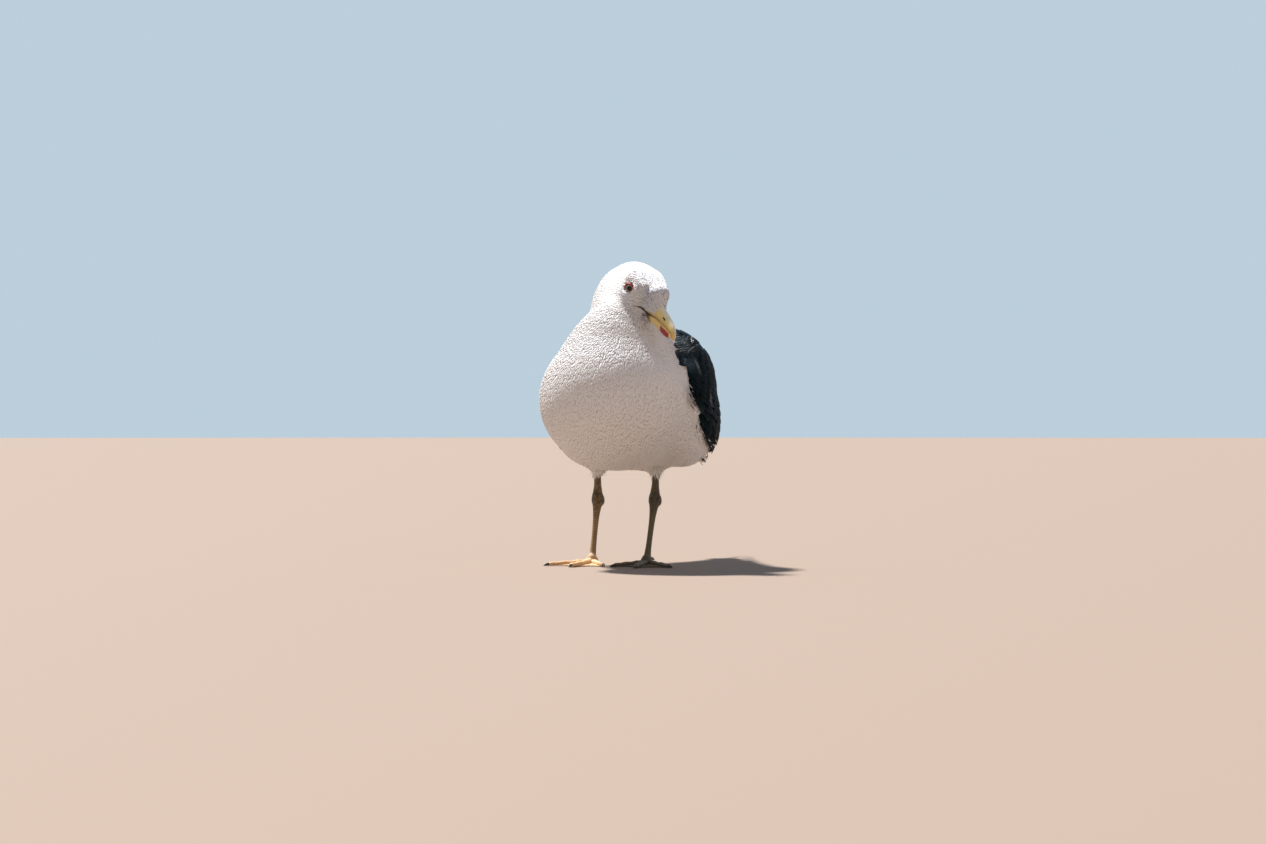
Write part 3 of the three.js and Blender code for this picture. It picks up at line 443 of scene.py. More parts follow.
def skin_of(field, low, high, cell):
    """The closed surface of a field in a box, as points and quads."""
    low, high = np.array(low, float), np.array(high, float)
    rough = 4
    blocks = np.ceil((high - low) / (cell * rough)).astype(int)
    axes = [low[a] + (np.arange(blocks[a]) + 0.5) * cell * rough for a in range(3)]
    middles = np.stack(np.meshgrid(*axes, indexing="ij"), -1).reshape(-1, 3)
    guess = field(middles).reshape(blocks)
    fine = np.repeat(np.repeat(np.repeat(guess, rough, 0), rough, 1), rough, 2).astype(np.float32)
    near = np.argwhere(np.abs(fine) < 1.25 * rough * cell)
    fine[tuple(near.T)] = field(low + near * cell)
    inside = fine < 0
    corners = sum(inside[i:i - 1 or None, j:j - 1 or None, k:k - 1 or None].astype(np.int8)
                  for i in (0, 1) for j in (0, 1) for k in (0, 1))
    crossed = (corners > 0) & (corners < 8)
    cells = np.argwhere(crossed)
    number = np.full(crossed.shape, -1, int)
    number[tuple(cells.T)] = np.arange(len(cells))
    total, hits = np.zeros((len(cells), 3)), np.zeros(len(cells))
    steps = np.eye(3, dtype=int)
    for axis, step in enumerate(steps):
        others = np.delete(steps, axis, 0)
        for m in (0, 1):
            for n in (0, 1):
                start = cells + m * others[0] + n * others[1]
                f, g = fine[tuple(start.T)], fine[tuple((start + step).T)]
                cross = (f < 0) != (g < 0)
                t = np.where(cross, f / np.where(cross, f - g, 1), 0)
                total += np.where(cross[:, None], start + t[:, None] * step, 0)
                hits += cross
    points = settle(field, low + cell * total / hits[:, None])
    faces = []
    for axis in range(3):
        one, two = steps[(axis + 1) % 3], steps[(axis + 2) % 3]
        along = np.diff(inside.astype(np.int8), axis=axis)
        edges = np.argwhere(along != 0)
        edges = edges[(edges @ one > 0) & (edges @ two > 0) & (edges < crossed.shape).all(1)]
        ring = [number[tuple((edges - m * one - n * two).T)] for m, n in ((0, 0), (1, 0), (1, 1), (0, 1))]
        ring = np.stack(ring, 1)
        into = along[tuple(edges.T)] > 0
        ring[into] = ring[into][:, ::-1]
        faces.append(ring[(ring >= 0).all(1)])
    return points, np.concatenate(faces)


# ------------------------------------------------------------------ meshes


def new_piece(name, points, faces, material):
    """An object of points in mm and of faces: a set, or a list of sets, each with one number of corners."""
    mesh = bpy.data.meshes.new(name)
    sets = faces if isinstance(faces, list) else [faces]
    sets = [np.asarray(f, np.int32) for f in sets if len(f)]
    corners = np.concatenate([f.ravel() for f in sets])
    sizes = np.concatenate([np.full(len(f), f.shape[1]) for f in sets])
    mesh.vertices.add(len(points))
    mesh.vertices.foreach_set("co", to_metres(points).astype(np.float32).ravel())
    mesh.loops.add(len(corners))
    mesh.loops.foreach_set("vertex_index", corners)
    mesh.polygons.add(len(sizes))
    mesh.polygons.foreach_set("loop_start", (np.cumsum(sizes) - sizes).astype(np.int32))
    mesh.polygons.foreach_set("use_smooth", np.full(len(sizes), True))
    mesh.update(calc_edges=True)
    mesh.materials.append(material)
    return link(bpy.data.objects.new(name, mesh))


def mark(piece, **values):
    """Stores numbers or vectors on a piece's points."""
    for name, value in values.items():
        value = np.asarray(value, np.float32)
        kind = "FLOAT_VECTOR" if value.ndim == 2 else "FLOAT"
        store = piece.data.attributes.new(name, kind, "POINT")
        store.data.foreach_set("vector" if value.ndim == 2 else "value", value.ravel())


def finished(piece, slot, *nodes):
    """Rides a piece on the one body and hides the nodes that it replaces; the slot is not used."""
    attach(piece, "root")
    if nodes:
        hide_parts(*nodes)
    return piece


def turns(count):
    """Angles all the way round."""
    return np.linspace(0, 2 * math.pi, count + 1)[:-1]


def grid_faces(rows, columns):
    """The quads of a grid of points, rows then columns."""
    i, j = np.meshgrid(np.arange(rows - 1), np.arange(columns - 1), indexing="ij")
    a = (i * columns + j).ravel()
    return np.stack([a, a + 1, a + columns + 1, a + columns], 1)


def ring_faces(rings, around, looped=False):
    """The quads of rings in a row: closed to a loop, or with an end cap each."""
    i, j = np.meshgrid(np.arange(rings if looped else rings - 1), np.arange(around), indexing="ij")
    here, there = i * around, (i + 1) % rings * around
    after = (j + 1) % around
    quads = np.stack([(here + j).ravel(), (here + after).ravel(), (there + after).ravel(), (there + j).ravel()], 1)
    if looped:
        return [quads]
    return [quads, np.arange(around)[None, ::-1], ((rings - 1) * around + np.arange(around))[None]]


def facing_out(points, faces):
    """Turns the sets of faces of closed shapes outwards, judged by the volume inside the first set."""
    sets = faces if isinstance(faces, list) else [faces]
    a, b, c, d = [points[sets[0][:, i]] - points.mean(0) for i in range(4)]
    volume = np.einsum("ij,ij->i", a, np.cross(b, c)).sum() + np.einsum("ij,ij->i", a, np.cross(c, d)).sum()
    return sets if volume > 0 else [f[:, ::-1] for f in sets]


def closed_sheets(upper, lower):
    """Sheets (count, rows, columns, xyz) closed into thin solids: their points and quads."""
    count, rows, columns, _ = upper.shape
    inner = rows * columns
    top = grid_faces(rows, columns)
    rim = list(range(columns)) + [i * columns + columns - 1 for i in range(1, rows)]
    rim += [(rows - 1) * columns + j for j in range(columns - 2, -1, -1)]
    rim = np.array(rim + [i * columns for i in range(rows - 2, 0, -1)])
    after = np.roll(rim, -1)
    side = np.stack([rim, rim + inner, after + inner, after], 1)
    one = np.concatenate([top, top[:, ::-1] + inner, side])
    points = np.concatenate([upper.reshape(count, -1, 3), lower.reshape(count, -1, 3)], 1)
    faces = one[None] + (np.arange(count) * 2 * inner)[:, None, None]
    return points.reshape(-1, 3), faces.reshape(-1, 4)


def on_both(value, count):
    """A sheet's values for its upper and its lower face, count times over."""
    return np.tile(np.concatenate([value.ravel()] * 2), count)


# ------------------------------------------------------------------ places along the trunk

AXIS = unit(AXIS_END - AXIS_START)
AXIS_UP = np.cross([1, 0, 0], AXIS)
wing_top, wing_low, wing_thick = [track(WING, c) for c in (1, 2, 3)]
back_span, back_thick = [track(BACK, c) for c in (1, 2)]


def on_body(field, s, angle, height=0.0):
    """Points at a height over a field's surface: s mm along the trunk, an angle from the back's midline."""
    s, angle, height = [np.asarray(a, float).ravel() for a in np.broadcast_arrays(s, angle, height)]
    start = AXIS_START + s[:, None] * AXIS
    turn = np.radians(angle)[:, None]
    out = np.cos(turn) * AXIS_UP + np.sin(turn) * np.array([1.0, 0, 0])
    near, far = np.zeros(len(s)), np.full(len(s), 110.0)
    for _ in range(18):
        half = (near + far) / 2
        inside = field(start + out * half[:, None]) < 0
        near, far = np.where(inside, half, near), np.where(inside, far, half)
    p = start + out * near[:, None]
    return p + unit(rise(field, p)) * height[:, None]


def along_trunk(p):
    """s and the angle from the back's midline of points."""
    q = p - AXIS_START
    return q @ AXIS, np.degrees(np.arctan2(q[:, 0], q @ AXIS_UP))


def bed_thick(s, q):
    return wing_thick(s) * mix(0.5, 1, np.minimum(1, 3 * q))


def wing_angle(s, q):
    return mix(wing_low(s), wing_top(s), q)


# ------------------------------------------------------------------ skin: torso, neck, head and thighs in one

BODY_COAT, NECK_COAT, HEAD_COAT, FACE_COAT = 3.4, 2.6, 1.3, 0.55  # depths of the small feathers
NECK_FROM, NECK_TO = 205, 240  # heights between which body turns to neck
SMOOTH_SWELL, ROUGH_SWELL = 0.03, 0.17  # how far the plumage swells, and how much more where it is rough
ROUGH_RUFFLE = 0.45  # how much looser the tips stand there
# Length and half width of the tufts in mm on the body, the neck, the head and the face
TUFT_LONG, TUFT_WIDE = (12.5, 9.0, 5.2, 2.6), (1.32, 1.12, 0.75, 0.5)


def headness(p):
    """1 on the head, 0 below the throat."""
    q = to_head(p)
    return eased(48, 26, np.linalg.norm((q - [-2, 0, -4]) * [0.85, 1, 1], axis=1))


def neckness(p):
    return eased(NECK_FROM, NECK_TO, p[:, 2])


def coat_depth(p):
    """How deep the small feathers are."""
    head = headness(p)
    face = eased(2, 24, to_head(p)[:, 0]) * head
    depth = mix(mix(BODY_COAT, NECK_COAT, neckness(p)), HEAD_COAT, head)
    return mix(depth, FACE_COAT, face)


def lumps(p):
    """Soft unevenness of the plumage, about -1 to 1: clumps of feathers that part a little."""
    x, y, z = p.T
    one = np.sin(x / 2.4 + 1.3 * np.sin(z / 5.1 + y / 7)) * np.sin(z / 3.3 + 1.4 * np.sin(x / 4.3 - y / 6))
    two = np.sin((x + y) / 5.2 + 2.1 * np.sin(z / 9)) * np.sin((z - y) / 7 + 1.1 * np.sin(x / 8))
    return 0.6 * one + 0.4 * two


def roughness_of(p, head):
    """Where the feathers stand a little apart: over the right of the neck and shoulder."""
    return eased(40, -50, p[:, 0]) * bell(p[:, 2], 236, 26) * (1 - head)


def uneven(p):
    """How far the plumage swells or sinks, in shares of its depth."""
    return (SMOOTH_SWELL + ROUGH_SWELL * roughness_of(p, headness(p))) * lumps(p)


def skin_field(p):
    return whole(p) + coat_depth(p)


# Which way the small feathers lie: [place, direction, reach], the head's in the head's own frame
HEAD_LIE = [
    [(26, 0, 2), (-1, 0, 0.75), 9],
    [(12, 0, 20), (-1, 0, 0.15), 12],
    [(-14, 0, 20), (-1, 0, -0.2), 14],
    [(-38, 0, 2), (-0.6, 0, -1), 14],
    [(14, 16, 0), (-1, 0.35, 0.1), 10],
    [(14, -16, 0), (-1, -0.35, 0.1), 10],
    [(-6, 22, -8), (-1, 0, -0.35), 13],
    [(-6, -22, -8), (-1, 0, -0.35), 13],
    [(16, 0, -23), (-1, 0, -0.25), 11],
    [(-6, 0, -27), (-0.8, 0, -0.7), 13],
]
BODY_LIE = [
    [(18, -46, 240), (-0.1, -0.1, -1), 20],
    [(-34, -18, 244), (-0.05, 0.2, -1), 20],
    [(45, 5, 240), (0.1, 0.4, -1), 20],
    [(2, 46, 248), (0, 0.75, -0.7), 20],
    [(0, -90, 195), (0, -0.1, -1), 28],
    [(0, -98, 165), (0, 0.15, -1), 28],
    [(0, -74, 118), (0, 0.75, -0.66), 28],
    [(0, -20, 98), (0, 1, -0.05), 30],
    [(0, 60, 110), (0, 1, 0.1), 30],
    [(0, 130, 120), (0, 1, -0.05), 30],
    [(0, 200, 125), (0, 1, -0.25), 30],
    [(68, -60, 185), (0.1, 0.4, -1), 28],
    [(-68, -60, 185), (-0.1, 0.4, -1), 28],
    [(84, -10, 160), (0, 0.8, -0.7), 28],
    [(-84, -10, 160), (0, 0.8, -0.7), 28],
    [(78, 60, 135), (0, 1, 0.05), 30],
    [(-78, 60, 135), (0, 1, 0.05), 30],
    [(0, 70, 225), (0, 1, -0.25), 30],
    [(0, 150, 170), (0, 1, -0.35), 30],
    [(22, 54, 98), (0.1, 0.35, -1), 13],
    [(-42, 54, 98), (-0.1, 0.35, -1), 13],
]


def lie_of(p, n):
    """The direction in which the small feathers lie, along the surface."""
    total = np.zeros_like(p)
    rules = [(in_head(*at), np.array(way) @ HEAD, reach) for at, way, reach in HEAD_LIE]
    rules += [(np.array(at, float), np.array(way, float), reach) for at, way, reach in BODY_LIE]
    for at, way, reach in rules:
        gap = ((p - at) ** 2).sum(1) / reach**2
        total += (1 / (0.05 + gap) ** 2)[:, None] * unit(way)
    total = unit(total)
    return unit(total - n * (total * n).sum(1)[:, None])


def eye_place(side):
    """The middle of an eyeball, and the way that its socket looks."""
    return in_head(EYE_AT[0], EYE_AT[1] * side, EYE_AT[2]), unit(np.array([0.32, side, 0.02]) @ HEAD)


def eye_distance(p):
    """Distance from the axis of the nearer eye's socket."""
    best = np.full(len(p), 1e9)
    for _, side in SIDES:
        centre, aim = eye_place(side)
        q = p - centre
        out = q @ aim
        aside = np.linalg.norm(q - out[:, None] * aim, axis=1)
        best = np.where(out > -3, np.minimum(best, aside), best)
    return best


FRONT_SHIFT = {1: -5, -1: 24}  # how far back the white runs over the shoulder on each side
NAPE_SPAN = BACK[0][1]  # how far to each side the dark back's front border reaches, in degrees
RUMP_END = 330  # s from which no dark feathers hide the body


def front_shift(side, angle):
    """The white shoulder feathers lie over the folded wing's front, far over it on the right."""
    return np.where(np.asarray(side) > 0, FRONT_SHIFT[1], FRONT_SHIFT[-1]) * eased(15, 48, np.abs(angle))


def wing_share(p):
    """How far inside the border of the dark feathers a place is, in mm: negative outside."""
    s, angle = along_trunk(p)
    s = s - front_shift(np.sign(angle), angle) * eased(150, 90, s)
    away = np.maximum(np.linalg.norm(p - AXIS_START - s[:, None] * AXIS, axis=1), 15)
    below = (wing_low(s) - np.abs(angle)) * np.radians(away) * (s < RUMP_END)
    ahead = s - (WING[0][0] + NAPE_LINE * (1 - np.clip(np.abs(angle) / NAPE_SPAN, 0, 1) ** 2)) + 2
    return np.minimum(below, ahead)


def patch_map(mesh):
    """An unwrap of the skin's own shape."""
    piece = link(bpy.data.objects.new("unwrap", mesh))
    bpy.context.view_layer.objects.active = piece
    piece.select_set(True)
    bpy.ops.object.mode_set(mode="EDIT")
    bpy.ops.mesh.select_all(action="SELECT")
    bpy.ops.uv.smart_project(angle_limit=math.radians(60), island_margin=0.004)
    bpy.ops.object.mode_set(mode="OBJECT")
    bpy.data.objects.remove(piece)
    mesh.uv_layers[0].name = "OFBake"


SKIN_CELL = 1.9
SKIN_LOW, SKIN_HIGH = (-102, -112, 62), (102, 240, 322)
EYE_CLEAR = 5.1  # no tufts this near the eye's axis
# Where the white laps over a wing's bed: share of the bed's thickness, most in mm, and how far inside its border
LAP_SHARE, LAP_MOST, LAP_WIDTH = 0.62, 9, 5


def make_skin(material):
    """The one skin under the coat, marked with all that the tufts need to know."""
    points, faces = skin_of(skin_field, SKIN_LOW, SKIN_HIGH, SKIN_CELL)
    out = unit(rise(lambda p: whole(p) - coat_depth(p) * uneven(p), points))
    skin = new_piece("skin", points, faces, material)
    patch_map(skin.data)
    head = headness(points)
    q = to_head(points)
    face = eased(0, 26, q[:, 0]) * head
    neck = neckness(points)
    inside = wing_share(points)
    depth = coat_depth(points)
    long, wide = [mix(mix(body, nape, neck), mix(crown, front, face), head)
                  for body, nape, crown, front in (TUFT_LONG, TUFT_WIDE)]
    s, _ = along_trunk(points)
    over = eased(-16, -3, inside) * np.clip(wing_thick(s) * LAP_SHARE - cover(points) - depth, 0, LAP_MOST)
    sow = (inside < LAP_WIDTH) & (eye_distance(points) > EYE_CLEAR) & ~in_bill(points)
    depth = depth * (1 + uneven(points) * (1 - face))
    mark(skin, lie=lie_of(points, out), out=out, depth=depth / 1000, over=over / 1000, long=long / 1000,
         wide=wide / 1000, speckle_and_skylight=speckle_and_skylight_of(q, head), fleck=flecks_of(q, head), root=to_metres(points),
         ruffle=1 + ROUGH_RUFFLE * roughness_of(points, head),
         **{"sow_" + name: sow * share for name, share in coat_regions(points, head).items()})
    return skin


def in_bill(p):
    """Whether places are bare because they lie inside the bill."""
    x, _, z = to_head(p).T
    return bill_body(p) < -0.4 - 1.5 * eased(37, 31, x) * (z > cutting_edge(np.clip(x, *BILL_SPAN)))


# Grey flecks on the right of the head, in its own frame: [x, y, z, length, width, strength]
FLECKS = [
    [-7.6, -22.6, 9.7, 5.5, 1.7, 0.8], [-0.1, -19.9, 12.8, 5, 1.6, 0.6], [-12.8, -22.4, 5.4, 3.5, 1.2, 0.35],
    [-18.6, -23.1, -1.7, 4, 1.4, 0.35], [11.2, -7.9, 17.3, 4.5, 1.6, 0.65], [16.2, -7.9, 15.8, 3.5, 1.4, 0.5],
    [12.5, -15, 12.4, 3.4, 1.3, 0.35], [8.2, -18, 10.9, 3, 1.2, 0.3], [-7.4, -25.3, -11.2, 4, 1.5, 0.55],
    [-1, -24.1, -10.1, 3.4, 1.4, 0.45], [-15.6, -24.8, -7.8, 3.5, 1.2, 0.35],
    [-2, -25.2, -14.8, 3.5, 1.2, 0.35], [-16.9, -26, -14.4, 3, 1.1, 0.25], [21.5, 3, 17.2, 4, 2.2, 0.75],
    [33, 1.6, 12, 5, 3.2, 0.85], [31.4, -3.2, 13.4, 4, 2, 0.75], [35.1, -1, 7.6, 4.5, 2.6, 0.8],
    [35.4, -3.5, 2.8, 3.5, 1.8, 0.7], [34.1, 4.8, 7.9, 4, 2.4, 0.7], [33.2, -6.5, 8.1, 3.4, 1.3, 0.6],
    [29.2, -9.5, 10.3, 3.2, 1.2, 0.5], [27.4, -11.8, 6.7, 2.8, 1.1, 0.4], [31.5, -9.4, 4.1, 3, 1.1, 0.45],
    [28.7, -11, 0.7, 2.6, 1, 0.4], [34, -6.8, -0.6, 2.6, 1.1, 0.5], [29.7, -9.5, -5.5, 2.6, 1.2, 0.6],
    [32.3, -7.3, -6.7, 2.6, 1.3, 0.85], [27.4, -8.1, -10.5, 2.2, 1, 0.6], [34.3, -4, -8.1, 2.4, 1.3, 0.8],
    [35.8, -3.8, -2.7, 2.2, 1, 0.5], [26.2, -7.4, -18.5, 4.5, 3.2, 0.95], [23.9, -9.3, -18.2, 3.4, 2.2, 0.75],
    [26, -7, -21.9, 4, 2.6, 0.85], [23.6, -10, -21, 3, 1.8, 0.55],
]


def flecks_of(q, head):
    """How grey the head's flecks make each place, on both sides."""
    total = np.zeros(len(q))
    for x, y, z, long, wide, strength in FLECKS:
        for side in (1, -1):
            gap = q - [x + (1.5 if side < 0 else 0), y * side, z - (1 if side < 0 else 0)]
            run = gap @ unit([-1, 0.15 * np.sign(y) * side, -0.12])
            rest = np.sqrt(np.maximum((gap * gap).sum(1) - run**2, 0))
            total = np.maximum(total, strength * np.exp(-((run / long * 2) ** 2) - (rest / wide) ** 2 * 2))
    return total * head


def speckle_and_skylight_of(q, head):
    """How thickly the finest grey flecks stand, and how strongly the painted bluish skylight lies: most on the
    forehead and round the eye.
    """
    x, y, z = q.T
    front = 0.85 * bell(x, 27, 8) * bell(z, 6, 10)
    brow = 0.55 * bell(x, 6, 14) * bell(z, 14, 5)
    eye = 0.5 * bell(x, -4, 9) * bell(z, -8, 6) * bell(np.abs(y), 24, 8)
    return np.clip(front + brow + eye, 0, 1) * head


NECK_LOW, BREAST_BACK, BELLY_BACK = 226, -52, 22  # borders between the coat's pieces
CUFF_TOP, CUFF_Y, CUFF_REACH = 112, 56, 30


def coat_regions(p, head):
    """Which piece of the coat each place belongs to."""
    x, y, z = p.T
    on_head = head > 0.5
    on_neck = ~on_head & (z > NECK_LOW)
    body = ~on_head & ~on_neck
    left = x > 1
    front, hind = body & (y < BREAST_BACK), body & (y >= BELLY_BACK)
    middle = body & ~front & ~hind
    cuff = hind & (z < CUFF_TOP) & (np.abs(y - CUFF_Y) < CUFF_REACH)
    return {
        "head": on_head, "neck": on_neck, "breast_left": front & left, "breast_right": front & ~left,
        "belly_left": middle & left, "belly_right": middle & ~left, "rear": hind & ~cuff, "cuffs": cuff,
    }


# ------------------------------------------------------------------ tufts of small feathers

# A tuft's outline, [share of the length, share of the half width], and the line along its middle.
THREE_POINTED = ([(0, -0.35), (0.42, -1), (0.74, -0.95), (0.93, -0.8), (0.8, -0.42), (1, 0), (0.82, 0.4),
                  (0.9, 0.78), (0.74, 0.95), (0.42, 1), (0, 0.35)], (0.42, 0.74))
TWO_POINTED = ([(0, -0.35), (0.42, -1), (0.74, -0.9), (0.96, -0.5), (0.84, -0.1), (1, 0.35), (0.74, 0.95),
                (0.42, 1), (0, 0.35)], (0.42, 0.74))
ONE_POINTED = ([(0, -0.4), (0.45, -1), (0.82, -0.62), (1, 0), (0.82, 0.62), (0.45, 1), (0, 0.4)], (0.45, 0.82))
BULGE, RIM_DROP = 0.04, 0.05  # how far the middle lies above, and the rim below, the vane's height
CROWD = 3.2  # places tried for tufts in each square of the spacing
GROW_LEAST, GROW_MOST = 0.82, 1.18  # sizes of the tufts


def tuft_height(along):
    """How high a vane lies along its length, in shares of the coat's depth."""
    return np.interp(along, [0, 0.2, 0.5, 0.85, 1], [0.05, 0.62, 0.88, 0.985, 1.0])


def tuft(name, outline, middles):
    """A thin closed vane: a domed upper face over a flat one, in shares of its length and half width."""
    rim = [(x, y, tuft_height(x) - RIM_DROP) for x, y in outline]
    points = np.array(rim + [(x, 0.0, tuft_height(x) + BULGE) for x in middles])
    n = len(rim)
    low, high = n, n + 1
    a, b = 1, n - 2  # where the rim is level with the first middle
    c, d = 2, n - 3  # and with the second
    tops = [(0, low, n - 1), (0, a, low), (n - 1, low, b), (a, c, low), (c, high, low), (b, low, d), (d, low, high)]
    tops += [(high, i, i + 1) for i in range(c, d)]
    x, y, height = points.T

    def upward(f):
        p, q, r = f
        return (x[q] - x[p]) * (y[r] - y[p]) > (y[q] - y[p]) * (x[r] - x[p])

    under = [(0, i + 1, i) for i in range(1, n - 1)]
    faces = [f if upward(f) else f[::-1] for f in tops] + under
    mesh = bpy.data.meshes.new(name)
    mesh.from_pydata([(x, y, 0) for x, y, _ in points], [], faces)
    mesh.polygons.foreach_set("use_smooth", np.ones(len(faces), bool))
    shape = bpy.data.objects.new(name, mesh)
    mark(shape, along=x, across=y, height=height)
    return shape


def tuft_set(name, shapes):
    group = bpy.data.collections.new(name)
    for i, (outline, middles) in enumerate(shapes):
        group.objects.link(tuft(f"{name}_{i}", outline, middles))
    return group


class Sowing(Nodes):
    """The nodes that lay tufts on the skin."""

    def named(self, name, kind="FLOAT"):
        return self.add("GeometryNodeInputNamedAttribute", {"Name": name}, data_type=kind).outputs["Attribute"]

    def sampled(self, skin, value, kind="FLOAT"):
        """A value of the skin at the place on it nearest to each point."""
        made = self.add("GeometryNodeSampleNearestSurface", {"Mesh": skin}, data_type=kind)
        self.tree.links.new(value, made.inputs["Value"])
        return made.outputs["Value"]

    def draw(self, low, high, seed):
        return self.add("FunctionNodeRandomValue", {2: low, 3: high, 8: seed}, data_type="FLOAT").outputs[1]

    def store(self, geometry, name, value, kind="FLOAT", domain="POINT"):
        made = self.add("GeometryNodeStoreNamedAttribute", {"Geometry": geometry, "Name": name},
                        data_type=kind, domain=domain)
        self.tree.links.new(value, made.inputs["Value"])
        return made.outputs["Geometry"]


COAT_INPUTS = {"Skin": "Geometry", "Tufts": "Collection", "Where": "String", "Spacing": "Float", "Stir": "Float",
               "Loose": "Float", "Softness": "Float", "Seed": "Int", "Finish": "Material"}


def coat_tree():
    """Sows tufts on the skin, turns them to the coat's lie and lays them on it."""
    tree = bpy.data.node_groups.new("lay_the_coat", "GeometryNodeTree")
    for name, kind in COAT_INPUTS.items():
        tree.interface.new_socket(name, in_out="INPUT", socket_type="NodeSocket" + kind)
    tree.interface.new_socket("Coat", in_out="OUTPUT", socket_type="NodeSocketGeometry")
    lay = Sowing(tree)
    given = lay.add("NodeGroupInput").outputs
    seed, skin = given["Seed"], given["Skin"]
    crowd = lay.maths("DIVIDE", CROWD, lay.times(given["Spacing"], given["Spacing"]))
    points = lay.add("GeometryNodeDistributePointsOnFaces",
                     {"Mesh": skin, "Distance Min": given["Spacing"], "Density Max": crowd,
                      "Density Factor": lay.named(given["Where"]), "Seed": seed},
                     distribute_method="POISSON").outputs["Points"]
    stir = lay.times(lay.draw(-1.0, 1.0, seed), given["Stir"])
    upright = lay.add("FunctionNodeAxesToRotation", {"Primary Axis": lay.named("out", "FLOAT_VECTOR"),
                                                     "Secondary Axis": lay.named("lie", "FLOAT_VECTOR")},
                      primary_axis="Z", secondary_axis="X").outputs["Rotation"]
    yaw = lay.add("FunctionNodeAxisAngleToRotation", {"Axis": (0, 0, 1), "Angle": stir}).outputs["Rotation"]
    turned = lay.add("FunctionNodeRotateRotation", {"Rotation": upright, "Rotate By": yaw},
                     rotation_space="LOCAL").outputs["Rotation"]
    points = lay.store(points, "shade", lay.draw(0.0, 1.0, lay.maths("ADD", seed, 7.0)))
    free = lay.times(lay.draw(-1.0, 1.0, lay.maths("ADD", seed, 3.0)), given["Loose"])
    points = lay.store(points, "stand", lay.times(free, lay.named("ruffle")))
    grow = lay.draw(GROW_LEAST, GROW_MOST, lay.maths("ADD", seed, 5.0))
    size = lay.add("ShaderNodeCombineXYZ", {"X": lay.times(lay.named("long"), grow),
                                            "Y": lay.times(lay.named("wide"), grow), "Z": 1.0}).outputs[0]
    shapes = lay.add("GeometryNodeCollectionInfo", {"Collection": given["Tufts"], "Separate Children": True,
                                                    "Reset Children": True}).outputs[0]
    pick = lay.add("FunctionNodeRandomValue", {4: 0, 5: 8}, data_type="INT").outputs[2]
    coat = lay.add("GeometryNodeInstanceOnPoints",
                   {"Points": points, "Instance": shapes, "Pick Instance": True, "Instance Index": pick,
                    "Rotation": turned, "Scale": size}).outputs["Instances"]
    coat = lay.add("GeometryNodeRealizeInstances", {"Geometry": coat}).outputs["Geometry"]
    # the patch of the unwrap that each tuft takes its colour from
    spot = lay.add("ShaderNodeCombineXYZ", {"X": lay.maths("SUBTRACT", lay.named("along"), 0.5),
                                            "Y": lay.times(lay.named("across"), 0.5)}).outputs[0]
    patch = lay.vectors("ADD", lay.named("OFBake", "FLOAT_VECTOR"), lay.vectors("SCALE", spot, scale=PATCH))
    coat = lay.store(coat, "OFBake", patch, "FLOAT2", "CORNER")
    # laid on the skin, at its own height
    here = lay.add("GeometryNodeInputPosition").outputs[0]
    ground = lay.sampled(skin, here, "FLOAT_VECTOR")
    out = lay.vectors("NORMALIZE", lay.sampled(skin, lay.named("out", "FLOAT_VECTOR"), "FLOAT_VECTOR"))
    depth, lap = [lay.sampled(skin, lay.named(name)) for name in ("depth", "over")]
    freed = lay.scaled(lay.maths("POWER", lay.named("along"), 2.0), lay.named("stand"), 1.0)
    height = lay.maths("ADD", lay.times(lay.times(depth, lay.named("height")), freed), lap)
    laid = lay.vectors("ADD", ground, lay.vectors("SCALE", out, scale=height))
    coat = lay.add("GeometryNodeSetPosition", {"Geometry": coat, "Position": laid}).outputs["Geometry"]
    # the upper faces take most of the light as the body's own surface does
    own = lay.add("GeometryNodeInputNormal").outputs
    upward = lay.add("ShaderNodeVectorMath", {0: own["True Normal"], 1: out}, operation="DOT_PRODUCT")
    share = lay.times(lay.maths("GREATER_THAN", upward.outputs["Value"], 0.0), given["Softness"])
    mixed = lay.add("ShaderNodeMix", data_type="VECTOR")
    for socket, value in zip([i for i in mixed.inputs if i.enabled], (share, own["Normal"], out)):
        tree.links.new(value, socket)
    soft = lay.vectors("NORMALIZE", [o for o in mixed.outputs if o.enabled][0])
    coat = lay.add("GeometryNodeSetMeshNormal", {"Mesh": coat}, mode="FREE", domain="CORNER")
    tree.links.new(soft, coat.inputs["Custom Normal"])
    coat = lay.add("GeometryNodeSetMaterial", {"Geometry": coat.outputs["Mesh"], "Material": given["Finish"]})
    lay.add("NodeGroupOutput", {"Coat": coat.outputs["Geometry"]})
    return tree


PATCH = 0.003  # width of a tuft's patch on the unwrap
KEPT_MARKS = {"along", "across", "shade", "root", "speckle_and_skylight", "fleck", "position", "sharp_face", "material_index",
              "OFBake", "custom_normal", ".edge_verts", ".corner_vert", ".corner_edge"}


def settled(name, mesh, tree, **inputs):
    """The plain mesh that a tree of nodes makes of a mesh."""
    carrier = link(bpy.data.objects.new(name, mesh))
    modifier = carrier.modifiers.new("nodes", "NODES")
    modifier.node_group = tree
    for socket in tree.interface.items_tree:
        if getattr(socket, "in_out", "") == "INPUT" and socket.name in inputs:
            modifier[socket.identifier] = inputs[socket.name]
    made = bpy.data.meshes.new_from_object(carrier.evaluated_get(bpy.context.evaluated_depsgraph_get()))
    bpy.data.objects.remove(carrier)
    for mark_name in [a.name for a in made.attributes if a.name not in KEPT_MARKS]:
        made.attributes.remove(made.attributes[mark_name])
    made.name = name
    return link(bpy.data.objects.new(name, made))


